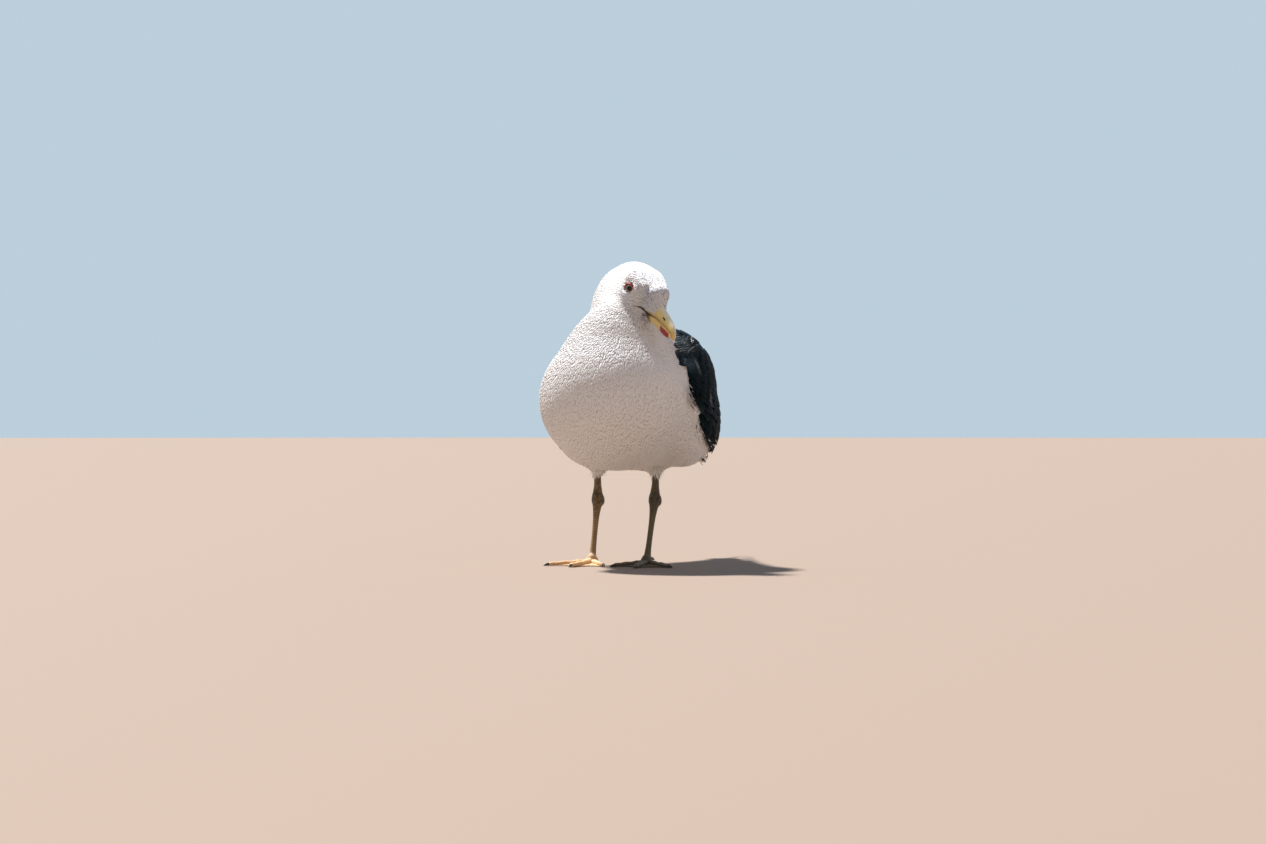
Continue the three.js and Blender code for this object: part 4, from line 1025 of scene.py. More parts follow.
# [piece, spacing in mm, how far the tufts turn from the lie, how loosely their tips stand]
COAT = [
    ("head", 0.86, 0.16, 0.05), ("neck", 1.15, 0.1, 0.03), ("breast_left", 1.25, 0.07, 0.015),
    ("breast_right", 1.25, 0.07, 0.015), ("belly_left", 1.35, 0.07, 0.015), ("belly_right", 1.35, 0.07, 0.015),
    ("rear", 1.5, 0.08, 0.02), ("cuffs", 1.5, 0.18, 0.15),
]
SOFTNESS = 0.85  # share of the body's own surface in how the tufts take light


def make_coat(skin, material):
    tree = coat_tree()
    fine = tuft_set("face_tufts", [ONE_POINTED, TWO_POINTED])
    full = tuft_set("body_tufts", [THREE_POINTED, TWO_POINTED, THREE_POINTED])
    for number, (where, spacing, stir, loose) in enumerate(COAT):
        piece = settled("coat_" + where, skin.data, tree, Tufts=fine if where == "head" else full,
                        Where="sow_" + where, Spacing=spacing / 1000, Stir=stir, Loose=loose, Softness=SOFTNESS,
                        Seed=11 + number, Finish=material)
        finished(piece, "plumage_white")


# ------------------------------------------------------------------ loose wisps that stand free of the coat


SHIN_WISPS = 46  # on each shin
SHIN_SHARES, SHIN_RADII = [0.06, 0.10, 0.24, 0.45], [3.6, 5.2, 7.8, 12]
# Each: count, s, angle, height over the body, direction (along the trunk, out, up), length, half width
COAT_WISPS = [
    (6, (96, 100), (46, 50), (3, 5), (0.0, 1.0, 0.6), (4, 7), (0.5, 1.0)),  # above the fold of the wing
    (9, (146, 158), (119, 129), (-1, 1), (0.75, 0.62, -0.25), (5, 9), (0.5, 0.9)),  # flank, behind the wing
    (40, (72, 92), (58, 96), (1.5, 4.5), (1.0, 0.05, -0.25), (6, 11), (0.35, 0.7)),  # over the wing's front
    (22, (100, 150), (101, 113), (1.0, 4), (1.0, 0.1, -0.25), (6, 12), (0.4, 0.8)),  # over its lower edge
]
WING_BARBS = [
    (34, (74, 100), (84, 99), (3.5, 6.5), (-0.8, 0.05, 0.35), (6, 13), (0.35, 0.75)),
    (26, (98, 128), (98, 107), (3, 5.5), (0.5, 0.05, -0.7), (5, 10), (0.4, 0.8)),
    (16, (128, 158), (106, 111), (2.5, 5), (0.8, 0.05, -0.5), (5, 9), (0.4, 0.8)),
    (7, (148, 158), (121, 125), (-0.5, 1.5), (0.8, 0.5, -0.2), (4, 7), (0.5, 0.9)),
    (16, (88, 96), (40, 58), (3, 5), (0.5, 0.5, 0.1), (3, 6), (0.3, 0.6)),
]
BARB_REACH = 8.0


def shin_wisps(draw):
    """[root, direction, outward, length, half width] of each wisp round the shins, below the cuffs."""
    found = []
    for _, side in SIDES:
        start, top = cuff_ends(side)
        for _ in range(SHIN_WISPS):
            turn = draw.uniform(0, 2 * math.pi)
            out = np.array([math.cos(turn), math.sin(turn), 0])
            share = draw.uniform(0.06, 0.3)
            radius = np.interp(share, SHIN_SHARES, SHIN_RADII)
            way = unit(start - top) + out * draw.uniform(-0.1, 0.22) + draw.normal(0, 0.09, 3)
            found.append((mix(start, top, share) + out * radius, way, out, draw.uniform(5, 9), draw.uniform(0.5, 1.0)))
    return found


def wisp_groups(draw, groups):
    """[root, direction, outward, length, half width] of each wisp of the groups."""
    found = []
    for count, s, angle, height, (back, away, up), long, wide in groups:
        for _ in range(count):
            place = [draw.uniform(*span) for span in (s, angle, height)]
            root, over = [on_body(cover, place[0], place[1], place[2] + step)[0] for step in (0, 1)]
            out = over - root
            way = AXIS * back + out * away + draw.normal(0, 0.12, 3) + [0, 0, up]
            found.append((root, way, out, draw.uniform(*long), draw.uniform(*wide)))
    return found


WISP_ROWS, WISP_COLUMNS, WISP_THICK = 7, 3, 0.12
WISP_OUTLINE = [0, 0.3, 0.7, 0.92, 1], [0.5, 1, 0.75, 0.35, 0.06]  # along it, half width


def wisp_sheets(draw, places):
    """The wisps as closed sheets: points, faces, and the shares along and across of one of them."""
    t, u = np.meshgrid(np.linspace(0, 1, WISP_ROWS), np.linspace(-1, 1, WISP_COLUMNS), indexing="ij")
    t, u = t[..., None], u[..., None]
    shape = np.interp(t, *WISP_OUTLINE)
    uppers, lowers = [], []
    for root, way, out, long, wide in places:
        way = unit(way)
        across = unit(np.cross(way, out))
        lift = unit(np.cross(across, way))
        bend = draw.uniform(-0.18, 0.1) * long * t**2
        sway = draw.uniform(-0.12, 0.12) * long * t**2
        middle = root + way * long * t + lift * bend + across * (sway + wide * shape * u)
        uppers.append(middle + lift * WISP_THICK * (1 - u**2))
        lowers.append(middle - lift * WISP_THICK)
    points, faces = closed_sheets(np.array(uppers), np.array(lowers))
    return points, facing_out(points, faces), t[..., 0], u[..., 0]


def make_barbs(material):
    """Dark ragged barbs that lie over the white along the left wing's front and lower edge."""
    draw = np.random.default_rng(78)
    places = wisp_groups(draw, WING_BARBS)
    points, faces, t, u = wisp_sheets(draw, places)
    piece = new_piece("wing_barbs_left", points, faces, material)
    count, flat = len(places), np.zeros(len(points))
    mark(piece, along=on_both(t, count), across=on_both(u, count), barb=on_both(t * BARB_REACH, count),
         reach=flat + BARB_REACH, shade=np.repeat(draw.uniform(0, 1, count), 2 * t.size),
         **{key: flat for key in ("pale", "white", "worn", "painted_sheen_and_shade", "painted_sheen_streak")})
    finished(piece, "wing_slate")


def read_all(store, name, width, kind=np.float32):
    """One property of all of a store's items, a row for each."""
    values = np.empty(len(store) * width, kind)
    store.foreach_get(name, values)
    return values.reshape(-1, width)


def make_wisps(skin, material):
    """Loose white wisps. Each takes the patch of the skin's unwrap at its root."""
    draw = np.random.default_rng(77)
    places = shin_wisps(draw)
    places += wisp_groups(draw, COAT_WISPS)
    points, faces, t, u = wisp_sheets(draw, places)
    piece = new_piece("coat_wisps", points, faces, material)
    mesh = skin.data
    spots = read_all(mesh.vertices, "co", 3)
    at_vertex = np.zeros((len(spots), 2))
    at_vertex[read_all(mesh.loops, "vertex_index", 1, np.int32)[:, 0]] = read_all(
        mesh.uv_layers["OFBake"].data, "uv", 2)
    roots = to_metres(np.array([place[0] for place in places]))
    near = [int(((spots - root) ** 2).sum(1).argmin()) for root in roots]
    one = np.concatenate([np.stack([t - 0.5, u / 2], -1).reshape(-1, 2)] * 2)
    patch = (at_vertex[near][:, None] + PATCH * one[None]).reshape(-1, 2)
    used = read_all(piece.data.loops, "vertex_index", 1, np.int32)[:, 0]
    layer = piece.data.uv_layers.new(name="OFBake")
    layer.data.foreach_set("uv", patch[used].astype(np.float32).ravel())
    count, each, zero = len(places), 2 * t.size, np.zeros(len(points))
    mark(piece, along=on_both(t, count), speckle_and_skylight=zero, fleck=zero,
         shade=np.repeat(draw.uniform(0.3, 1, count), each), root=np.repeat(roots, each, 0))
    finished(piece, "plumage_white")


# ------------------------------------------------------------------ flight and covert feathers

# Outlines from root to tip: share of the half width at each share of the length.
ALONG = np.array([0, 0.1, 0.22, 0.36, 0.5, 0.63, 0.75, 0.84, 0.91, 0.96, 0.99, 1.0])
ROUNDED = np.interp(ALONG, [0, 0.3, 0.6, 0.8, 0.9, 0.96, 0.99, 1], [0.55, 0.9, 1, 0.96, 0.82, 0.6, 0.38, 0.16])
LANCE = np.interp(ALONG, [0, 0.3, 0.55, 0.75, 0.88, 0.95, 0.99, 1], [0.6, 0.95, 1, 0.84, 0.58, 0.36, 0.18, 0.06])
ACROSS = np.array([-1, -0.7, -0.38, -0.07, 0, 0.07, 0.38, 0.7, 1.0])
RISEN = 0.6  # share of the length by which a feather has risen to its full height
CUP, CUP_WIDE = 0.55, 9  # how much higher its middle lies than its edges, at this half width
RAGGED = 0.035  # how far its edges run out and in, in shares of the half width
SWEEP = 0.12  # how far its edges lag behind its middle
SHAFT = 0.22  # how far the shaft stands up from the vane
VANE_THICK = 0.34
TILT = 0.7  # how much higher one edge lies than the other, over the neighbour's
MIDLINE_GAP = 0.2  # how far each wing keeps off the bird's midline


def on_shaft(across):
    return np.abs(across) < 0.03


def wear_marks(s, angle):
    """Where the folded wing is worn brown, where a painted sheen lies on it, with a painted grey for white feathers in
    shade at its lower edge, and where two pale streaks of painted highlight cross it.
    """
    return {
        "worn": eased(100, 86, s) * eased(60, 52, angle),
        # painted sheen on the coverts, and at the lower edge a painted grey for white feathers in shade
        "painted_sheen_and_shade": bell(s, 81, 8) * bell(angle, 64, 5) + bell(s, 92, 7) * bell(angle, 96.5, 2.5),
        # two pale streaks of painted highlight along the feathers
        "painted_sheen_streak": bell(s - 0.45 * (angle - 88), 113, 1.3) * bell(angle, 88, 5)
        + bell(s - 0.5 * (angle - 65), 91, 1.1) * bell(angle, 65, 4.5),
    }


class Feathers:
    """A list of feathers that lie along the trunk, made into one piece."""

    def __init__(self, seed):
        self.rows = []
        self.draw = np.random.default_rng(seed)

    def jitter(self, size):
        return size * self.draw.uniform(-1, 1)

    def put(self, s0, a0, s1, a1, wide, root, tip, thick=VANE_THICK, pointed=0.0, pale=0.3, white=0.0, tilt=TILT):
        """From s0 and angle a0 to s1 and a1: half width, heights of root and tip, then how it looks."""
        self.rows.append((s0, a0, s1, a1, wide, root, tip, thick, pointed, pale, white, tilt))

    def points(self, surface):
        """Upper and lower faces, (count, rows, columns, xyz), and the marks on them."""
        table = np.array(self.rows, float)
        s0, a0, s1, a1, wide, root, tip, thick, pointed, pale, white, tilt = [
            column[:, None, None] for column in table.T]
        count = len(table)
        along, across = ALONG[None, :, None], ACROSS[None, None, :]
        spread = mix(ROUNDED, LANCE, pointed[:, 0]).reshape(count, -1, 1)
        ragged = self.draw.normal(0, 1, (count, len(ALONG), 2))
        spread = spread * (1 + RAGGED * np.where(across < 0, ragged[..., :1], ragged[..., 1:]) * (along > 0.2))
        s = mix(s0, s1, along) + 0 * across  # 0 * spreads a value over all three axes
        middle_s, middle_a = (s0 + s1).ravel() / 2, (a0 + a1).ravel() / 2
        at = on_body(surface, middle_s, middle_a)
        radius = np.maximum(np.linalg.norm(at - AXIS_START - middle_s[:, None] * AXIS, axis=1), 9)
        degree = np.radians(radius)[:, None, None]
        angle = mix(a0, a1, along) + across * wide * spread / degree
        s = s - SWEEP * wide * across**2 * np.clip(along * 3, 0, 1)
        risen = np.minimum(1, along / RISEN)
        height = mix(root, tip, risen) + CUP * (1 - across**2) * (wide / CUP_WIDE) + tilt * across / 2
        ridge = SHAFT * on_shaft(across) * (1 - 0.7 * along)
        rim = thick * mix(1.0, 0.35, across**2)
        upper, lower = [on_body(surface, s, angle, level + 0 * s).reshape(*s.shape, 3)
                        for level in (height + ridge, height - rim)]
        reach = s1 - s0
        marks = {
            "along": along, "across": across, "pale": pale, "white": white,
            "shade": self.draw.uniform(0, 1, (count, 1, 1)), "reach": reach,
            "barb": along * reach - 1.1 * np.abs(across) * wide * spread, **wear_marks(s, np.abs(angle)),
        }
        return upper, lower, {key: value + 0 * s for key, value in marks.items()}

    def piece(self, name, surface, side, material, keep_off=MIDLINE_GAP):
        upper, lower, marks = self.points(surface)
        if keep_off is not None:
            for part in (upper, lower):
                part[..., 0] = np.maximum(part[..., 0], keep_off)
        points, faces = closed_sheets(upper, lower)
        points = points * [side, 1, 1]  # all are laid on the left and mirrored for the right
        piece = new_piece(name, points, facing_out(points, faces), material)
        count = len(self.rows)
        mark(piece, **{key: np.stack([value.reshape(count, -1)] * 2, 1).ravel() for key, value in marks.items()})
        return piece


BED_ROWS, BED_BELOW = 40, 1.5
BED_SUNK = 0.9  # how far a bed lies below its feathers


def bed(surface, s_range, angles, heights, columns, rows=BED_ROWS):
    """A sheet over a surface, closed by an inner face.

    s_range takes the shares along and across, and angles and heights take s and the share across.
    """
    along, across = np.meshgrid(np.linspace(0, 1, rows), np.linspace(0, 1, columns), indexing="ij")
    s = s_range(along, across)
    angle = angles(s, across)
    upper = on_body(surface, s, angle, heights(s, across)).reshape(1, rows, columns, 3)
    lower = on_body(surface, s, angle, -BED_BELOW).reshape(1, rows, columns, 3)
    return closed_sheets(upper, lower)


# Rows of a wing's feathers, hindmost first, each from the wing's lower edge to the upper one:
# [count, s of roots there and there, q there and there, length there and there, half width, rise, pale edge]
WING_ROWS = [
    [10, 194, 186, 0.00, 0.50, 62, 78, 6.6, 1.3, 0.35],  # secondaries
    [14, 158, 158, -0.05, 0.86, 42, 54, 7.4, 1.7, 0.3],  # greater coverts
    [13, 134, 134, -0.11, 0.88, 38, 42, 7.2, 1.9, 0.35],  # median coverts
    [12, 116, 117, -0.15, 0.90, 30, 34, 6.6, 2.0, 0.4],  # lesser coverts, in six rows
    [12, 103, 104, -0.16, 0.92, 26, 28, 5.8, 2.0, 0.45],
    [11, 93, 95, -0.12, 0.92, 22, 24, 5.4, 1.9, 0.5],
    [11, 85, 87, -0.04, 0.92, 18, 20, 5.0, 1.7, 0.5],
    [10, 79, 80, 0.06, 0.92, 15, 16, 4.6, 1.4, 0.5],
]
# The inner feathers that close the wing over the rump: [s of root, q, s and angle of tip, half width, rise]
TERTIALS = [
    [180, 0.50, 268, 52, 10, 1.9],
    [184, 0.60, 277, 42, 11, 2.5],
    [186, 0.72, 284, 31, 11.5, 3.1],
    [188, 0.84, 289, 19, 11.5, 3.7],
    [189, 0.94, 292, 9, 11, 4.2],
]
# The hand's feathers, longest and lowest first: [s of root, s and angle of tip, half width]
PRIMARIES = [
    [232, 405, 55, 7.4], [231, 394, 58, 7.8], [230, 380, 61, 8.2], [229, 364, 64.5, 8.4],
    [228, 347, 68, 8.4], [227, 331, 72, 8.2], [226, 316, 76, 8.0],
]
PRIMARY_ROOT = 80
PRIMARY_STEP = 0.5
# The shoulder's small feathers on the left, hindmost row first: [s of roots, heights of root and tip]
SHOULDER_ROWS = [[103, 4.0, 6.8], [95, 2.6, 6.2], [87, 1.2, 5.2], [79, -0.5, 3.2]]
SHOULDER_ANGLES = np.arange(33, 64, 3.6)
ROOT_SUNK = 0.5  # how deep the root of a feather is let into the bed


def make_wing(name, side, feather_finish, bed_finish):
    lot = Feathers(101 if side > 0 else 202)
    for n, (s0, s1, a1, wide) in enumerate(PRIMARIES):
        height = 0.9 + PRIMARY_STEP * n
        lot.put(s0, mix(PRIMARY_ROOT, a1, 0.3), s1 + lot.jitter(1.5), a1, wide, height, height,
                thick=0.5, pointed=1.0, pale=0.25, white=1.0, tilt=0.0)
    for count, low, high, q_low, q_high, long_low, long_high, wide, lift, pale in WING_ROWS:
        for share in np.arange(count) / (count - 1):
            q = mix(q_low, q_high, share)
            back = front_shift(side, wing_angle(low, q)) if side < 0 else 0
            s0 = mix(low, high, share) + back * eased(150, 90, low) + lot.jitter(1.6)
            s1 = s0 + mix(long_low, long_high, share) + lot.jitter(1.8)
            a1 = wing_angle(s1, q) + lot.jitter(1.3)
            tucked = mix(0.3, 1, eased(104, 128, s1) if side < 0 else 1)
            root = (bed_thick(s0, q) - ROOT_SUNK) * tucked
            tip = bed_thick(s1, q) * tucked + lift + lot.jitter(0.25)
            lot.put(s0, wing_angle(s0, q), s1, a1, wide, root, tip, pale=pale)
    for s0, q, s1, a1, wide, lift in TERTIALS:
        root, tip = bed_thick(s0, q) - ROOT_SUNK, bed_thick(s1, 1.0) + lift
        lot.put(s0, wing_angle(s0, q), s1 + lot.jitter(1.5), a1 + lot.jitter(1), wide, root, tip,
                pale=0.6, white=0.55)
    if side > 0:  # worn shoulder feathers lie over the white in front of the fold
        for s0, root, tip in SHOULDER_ROWS:
            for a0 in SHOULDER_ANGLES:
                start = s0 + lot.jitter(1.6) - 0.85 * (min(a0, 57) - 44)
                lot.put(start, a0, start + 18 + lot.jitter(2), a0 + lot.jitter(1.5), 4.8, root,
                        tip + lot.jitter(0.3), pale=0.35)
    finished(lot.piece("wing_feathers_" + name, cover, side, feather_finish), "wing_slate")
    front, end = WING[0][0] + FRONT_SHIFT[side] + 2, WING[-1][0]

    def height(s, q):
        return bed_thick(s, q) * eased(front - 12, front + 16, s) - BED_SUNK

    points, faces = bed(cover, lambda t, u: mix(front, end, t), wing_angle, height, 14)
    points[:, 0] = np.maximum(points[:, 0], MIDLINE_GAP)
    points = points * [side, 1, 1]
    under = new_piece("wing_bed_" + name, points, facing_out(points, faces), bed_finish)
    finished(under, "wing_slate", "wing_" + name)


# Rows of mantle and shoulder feathers, hindmost first: [count on a side, s of roots, length, half width, rise]
MANTLE = [
    [5, 188, 64, 9.5, 2.3], [6, 170, 56, 9.5, 2.3], [6, 154, 48, 9.2, 2.2], [7, 139, 40, 8.6, 2.1],
    [8, 126, 34, 7.8, 2.0], [8, 114, 29, 7.2, 1.9], [8, 103, 25, 6.6, 1.8], [8, 94, 21, 6.0, 1.7],
    [8, 86, 18, 5.4, 1.5],
]
# Feathers that close the gap between the wings over the rump: [angle, s of tip]
RUMP_FEATHERS, RUMP_ROOT = [(-9, 266), (9, 267), (-3, 270), (4, 271)], 206


def make_back(feather_finish, bed_finish):
    lot = Feathers(303)
    for count, row, long, wide, lift in MANTLE:
        for _, side in SIDES:
            for i in range(count):
                out = 0.97 * (i + 0.5) / (count - 0.25)
                s0 = row + lot.jitter(1.6) + NAPE_LINE * 0.9 * (1 - out**2) * eased(150, 90, row)
                s0 += NAPE_LINE * 0.25 * (1 - out) * eased(120, 170, row)
                s0 += front_shift(side, back_span(row) * out) * eased(150, 90, row)
                s1 = s0 + long * mix(1, 0.88, 1 - out) + lot.jitter(1.8)
                a0 = side * back_span(s0) * out
                a1 = side * back_span(min(s1, BACK_END)) * out + lot.jitter(1.2)
                root, tip = back_thick(s0) - ROOT_SUNK, back_thick(s1) + lift + lot.jitter(0.25)
                lot.put(s0, a0, s1, a1, wide, root, tip, pale=0.4, white=0.3 if row > 180 else 0.0,
                        tilt=-side * TILT)
    for a1, s1 in RUMP_FEATHERS:
        lot.put(RUMP_ROOT, a1 * 2, s1, a1, 10, back_thick(RUMP_ROOT) - ROOT_SUNK, back_thick(BACK_END) + 1.2,
                pale=0.3, tilt=0)
    finished(lot.piece("mantle_feathers", cover, 1, feather_finish, None), "mantle_slate")

    def first(u):
        aside = 2 * u - 1
        return BACK[0][0] + NAPE_LINE * (1 - aside**2) + front_shift(aside, NAPE_SPAN * aside)

    points, faces = bed(cover, lambda t, u: mix(first(u), BACK[-1][0], t),
                        lambda s, u: (2 * u - 1) * (back_span(s) + 3), lambda s, u: back_thick(s) - BED_SUNK, 26)
    under = new_piece("mantle_bed", points, facing_out(points, faces), bed_finish)
    finished(under, "mantle_slate", "back")


# The tail's fleshy root: [y, height, half width, thickness]
TAIL = [[158, 136, 17, 7], [185, 126.5, 18, 5], [205, 120.5, 15, 3]]
TAIL_ROWS, TAIL_COLUMNS = 12, 9
TAIL_ROOT = np.array([0.0, 178, 127])
RECTRIX = {"pairs": 6, "long": 78, "wide": 9.5, "fan": 1.4, "slope": 14, "step": 0.62, "aside": 0.6}


def make_tail(material):
    """Twelve feathers in a narrow fan, the middle pair on top."""
    upper, lower, marks = [], [], []
    draw = np.random.default_rng(404)
    down = math.radians(RECTRIX["slope"])
    along, across = np.meshgrid(ALONG, ACROSS, indexing="ij")
    for _, side in SIDES:
        for n in range(RECTRIX["pairs"]):
            turn = math.radians(side * RECTRIX["fan"] * (n + 0.5))
            drop = RECTRIX["step"] * (n + (0.5 if side < 0 else 0))
            reach = along * (RECTRIX["long"] - 0.8 * n)
            spread = ROUNDED[:, None] * (1 + 0.03 * draw.normal(0, 1, (len(ALONG), 1)) * (along > 0.2))
            aside = across * RECTRIX["wide"] * spread + side * RECTRIX["aside"] * n
            x = reach * math.sin(turn) + aside * math.cos(turn)
            y = reach * math.cos(turn) * math.cos(down) - aside * math.sin(turn) - 0.7 * across**2
            ridge = 0.25 * on_shaft(across)
            z = TAIL_ROOT[2] - reach * math.sin(down) - drop - 0.5 * across**2
            upper.append(np.stack([x, TAIL_ROOT[1] + y, z + ridge], -1))
            lower.append(np.stack([x, TAIL_ROOT[1] + y, z - 0.4 + 0.25 * across**2], -1))
            marks.append([along, across, 0 * along + draw.uniform(0, 1),
                          along * RECTRIX["long"] - 10 * np.abs(across)])
    points, faces = closed_sheets(np.array(upper), np.array(lower))
    piece = new_piece("tail_feathers", points, facing_out(points, faces), material)
    for k, key in enumerate(("along", "across", "shade", "barb")):
        value = np.array([m[k] for m in marks]).reshape(len(marks), -1)
        mark(piece, **{key: np.stack([value, value], 1).ravel()})
    finished(piece, "tail_white")
    t, u = np.meshgrid(np.linspace(0, 1, TAIL_ROWS), np.linspace(-1, 1, TAIL_COLUMNS), indexing="ij")
    high, wide, thick = [track(TAIL, c) for c in (1, 2, 3)]
    y = mix(TAIL[0][0], TAIL[-1][0], t)
    x = wide(y) * u * (1 - 0.06 * t)
    z = high(y) - 0.004 * x * x - 1.2 * u**2
    top = np.stack([x, y, z], -1)[None]
    low = np.stack([x * 0.96, y, z - thick(y) + 1.5 * u**2], -1)[None]
    points, faces = closed_sheets(top, low)
    finished(new_piece("tail_root", points, facing_out(points, faces), material), "tail_white", "tail")


# ------------------------------------------------------------------ bill, in the head's frame

# [x along the bill, culmen, cutting edge, underside, half width]
BILL = [
    [20, 0.2, -14.9, -23.2, 8.4], [29, -0.5, -14.3, -23.6, 7.8], [38, -1.8, -13.9, -23.6, 6.9],
    [47, -3.8, -14.0, -24.3, 6.0], [55, -6.2, -14.6, -25.2, 5.3], [62, -9.0, -15.5, -24.9, 4.5],
    [67, -11.8, -16.8, -22.9, 3.6], [70.5, -15.4, -19.9, -21.8, 2.7], [72.8, -20.5, -25.0, -21.4, 1.3],
]
LOWER_TIP = 70.2
culmen, cutting_edge, underside, half_width = [track(BILL, c) for c in (1, 2, 3, 4)]
NOSTRIL = {"x": 51, "z": -9.6, "length": 6.6, "height": 1.5, "slope": 12}
BILL_RINGS, BILL_ROUND = 110, 72
BILL_FROM = 19  # x of the hidden root
BILL_SPAN = (20, 72)  # x between which the bill is taken as a field


def bill_half(upper):
    """Points of one half of the bill in rings, and their places in the head's frame."""
    end = BILL[-1][0] if upper else LOWER_TIP
    x = BILL_FROM + (end - BILL_FROM) * np.linspace(0, 1, BILL_RINGS) ** 0.85  # rings crowd at the tip
    a = np.linspace(0, math.pi, BILL_ROUND)
    x, a = np.meshgrid(x, a, indexing="ij")
    arch = np.sin(a) ** 0.8
    close = np.sqrt(np.clip((end - x) / 1.3, 0.0, 1)) * 0.97 + 0.03
    if upper:
        low, high = cutting_edge(x), culmen(x)
        wide = half_width(x)
        y = -wide * np.cos(a) * (1 - 0.25 * np.sin(a))
        lip = 0.35 * bell(arch, 0.12, 0.1) * eased(60, 50, x)  # the cutting edge stands out a little
        y = y * (1 + lip / np.maximum(wide, 1))
        groove = 0.28 * bell(arch, 0.3, 0.1) * eased(44, 54, x) * eased(70, 62, x)
        y = y * (1 - groove / np.maximum(wide, 1))
    else:
        low, high = cutting_edge(x) - 0.15, underside(x)
        wide = half_width(x) * 0.94
        y = -wide * np.cos(a) * (1 - 0.2 * np.sin(a))
        swell = 0.35 * bell(x, 60, 6) * bell(arch, 0.75, 0.3)  # the angle of the gonys
        y = y * (1 + swell / np.maximum(wide, 1))
    z = mix(low, high, arch)
    if upper:  # let in under the feathers at its base
        y = y * (1 - 0.3 * eased(36, 30, x) * eased(0.12, 0.4, arch))
        z = z - 1.6 * eased(37, 31, x) * eased(0.5, 1, arch)
    middle = mix(low, high, 0.45)
    y, z = y * close, mix(middle, z, close)
    if upper:
        slope = math.radians(NOSTRIL["slope"])
        dx, dz = x - NOSTRIL["x"], z - NOSTRIL["z"]
        run = dx * math.cos(slope) - dz * math.sin(slope)
        climb = dx * math.sin(slope) + dz * math.cos(slope)
        inside = (run / (NOSTRIL["length"] / 2)) ** 2 + (climb / (NOSTRIL["height"] / 2)) ** 2
        slit = eased(1.35, 0.5, inside)
        y = y - np.sign(y) * 1.7 * slit
        rim = bell(inside, 2.0, 0.8)
        y = y + np.sign(y) * 0.12 * rim
    else:
        slit = 0 * x
    return x, y, z, arch, slit


def make_bill(material):
    for upper in (True, False):
        x, y, z, arch, slit = bill_half(upper)
        points = in_head(x, y, z).reshape(-1, 3)
        name = "bill_upper" if upper else "bill_lower"
        piece = new_piece(name + "_horn", points, facing_out(points, ring_faces(*x.shape)), material)
        red = 0 * x if upper else eased(48.5, 52, x) * eased(67.5, 64.5, x) * eased(0.16, 0.34, arch)
        edge = bell(arch, 0, 0.2 if upper else 0.16)
        mark(piece, red=red.ravel(), edge=edge.ravel(), slit=slit.ravel(), reach=x.ravel(),
             arch=(arch if upper else 0.55 - 0.4 * arch).ravel(), below=(0 * x + (0 if upper else 0.85)).ravel())
        finished(piece, "bill_yellow", name)


# The corner of the mouth: x and z in the head's frame, half width of the dark strip
GAPE = [[7, -17.6, 0.3], [12, -16.2, 0.75], [16, -14.6, 1.0], [20.5, -13.6, 1.3], [24, -14.0, 1.6],
        [27.7, -15.0, 1.8], [31, -15.2, 1.4], [35, -14.5, 0.8], [41, -14.0, 0.35]]


def face_side(x, z, side, field):
    """How far out a field's surface lies at places of the head's side."""
    inside, outside = np.zeros(len(x)), np.full(len(x), 34.0)
    for _ in range(18):
        y = (inside + outside) / 2
        hit = field(in_head(x, y * side, z)) < 0
        inside, outside = np.where(hit, y, inside), np.where(hit, outside, y)
    return inside


GAPE_RINGS, GAPE_ROUND = 46, 10


def make_gape(name, side, material):
    """The dark line from the bill's cutting edge to under the eye."""
    t, a = np.linspace(0, 1, GAPE_RINGS), turns(GAPE_ROUND)
    table = np.array(GAPE)
    x, z, wide = [np.interp(t, np.linspace(0, 1, len(table)), table[:, c]) for c in range(3)]
    y = face_side(x, z, side, lambda p: np.minimum(whole(p) + coat_depth(p) * 0.55, bill_body(p)))
    dip = 0.12 + 0.2 * wide
    points = in_head(x[:, None], side * (y[:, None] + dip[:, None] * np.cos(a)),
                     z[:, None] + wide[:, None] * np.sin(a)).reshape(-1, 3)
    faces = facing_out(points, ring_faces(GAPE_RINGS, GAPE_ROUND))
    finished(new_piece("gape_" + name, points, faces, material), "claw")


def bill_body(p):
    """Roughly the bill as a field."""
    x, y, z = to_head(p).T
    along = np.clip(x, *BILL_SPAN)
    edge = cutting_edge(along)
    reach = np.where(z > edge, (z - edge) / (culmen(along) - edge), (edge - z) / (edge - underside(along)))
    turn = np.arcsin(np.clip(reach, 0, 1) ** 1.25)
    aside = np.abs(y) - half_width(along) * 0.97 * np.cos(turn) * (1 - 0.22 * np.sin(turn))
    return np.maximum.reduce([aside, z - culmen(along), underside(along) - z, BILL_SPAN[0] - x, x - BILL_SPAN[1]])


# ------------------------------------------------------------------ eyes and lids

GAZE = 0.40  # how far ahead of straight sideways the eyes look
PUPIL, IRIS = 2.65, 3.8  # radii on the eyeball's front


def lathe(profile, around, centre, aim):
    """A closed shape of rings round a line: profile is a list of (radius, height along the line)."""
    aim = unit(aim)
    one = unit(np.cross(aim, [0, 0, 1]))
    two = np.cross(one, aim)
    profile = np.array(profile)
    a = turns(around)
    ring = np.cos(a)[:, None] * one + np.sin(a)[:, None] * two
    inner = profile[1:-1]
    points = centre + inner[:, None, :1] * ring[None] + inner[:, None, 1:] * aim
    points = np.concatenate([points.reshape(-1, 3), [centre + profile[0, 1] * aim, centre + profile[-1, 1] * aim]])
    rows = len(inner)
    j, pole, end = np.arange(around), rows * around, (rows - 1) * around
    after = (j + 1) % around
    first = np.stack([j, after, np.full(around, pole)], 1)[:, ::-1]
    last = np.stack([end + j, end + after, np.full(around, pole + 1)], 1)
    return points, facing_out(points, [ring_faces(rows, around)[0], first, last])


EYE_STEPS, EYE_ROUND = 41, 48
CORNEA = 0.35  # how far the eye bulges at its front
LID_ROUND, LID_WIRES = 72, 14
RING_R, RING_OVAL, RING_WIDE, RING_HIGH = 4.4, 0.28, 0.92, 0.8  # of the lids' red ring


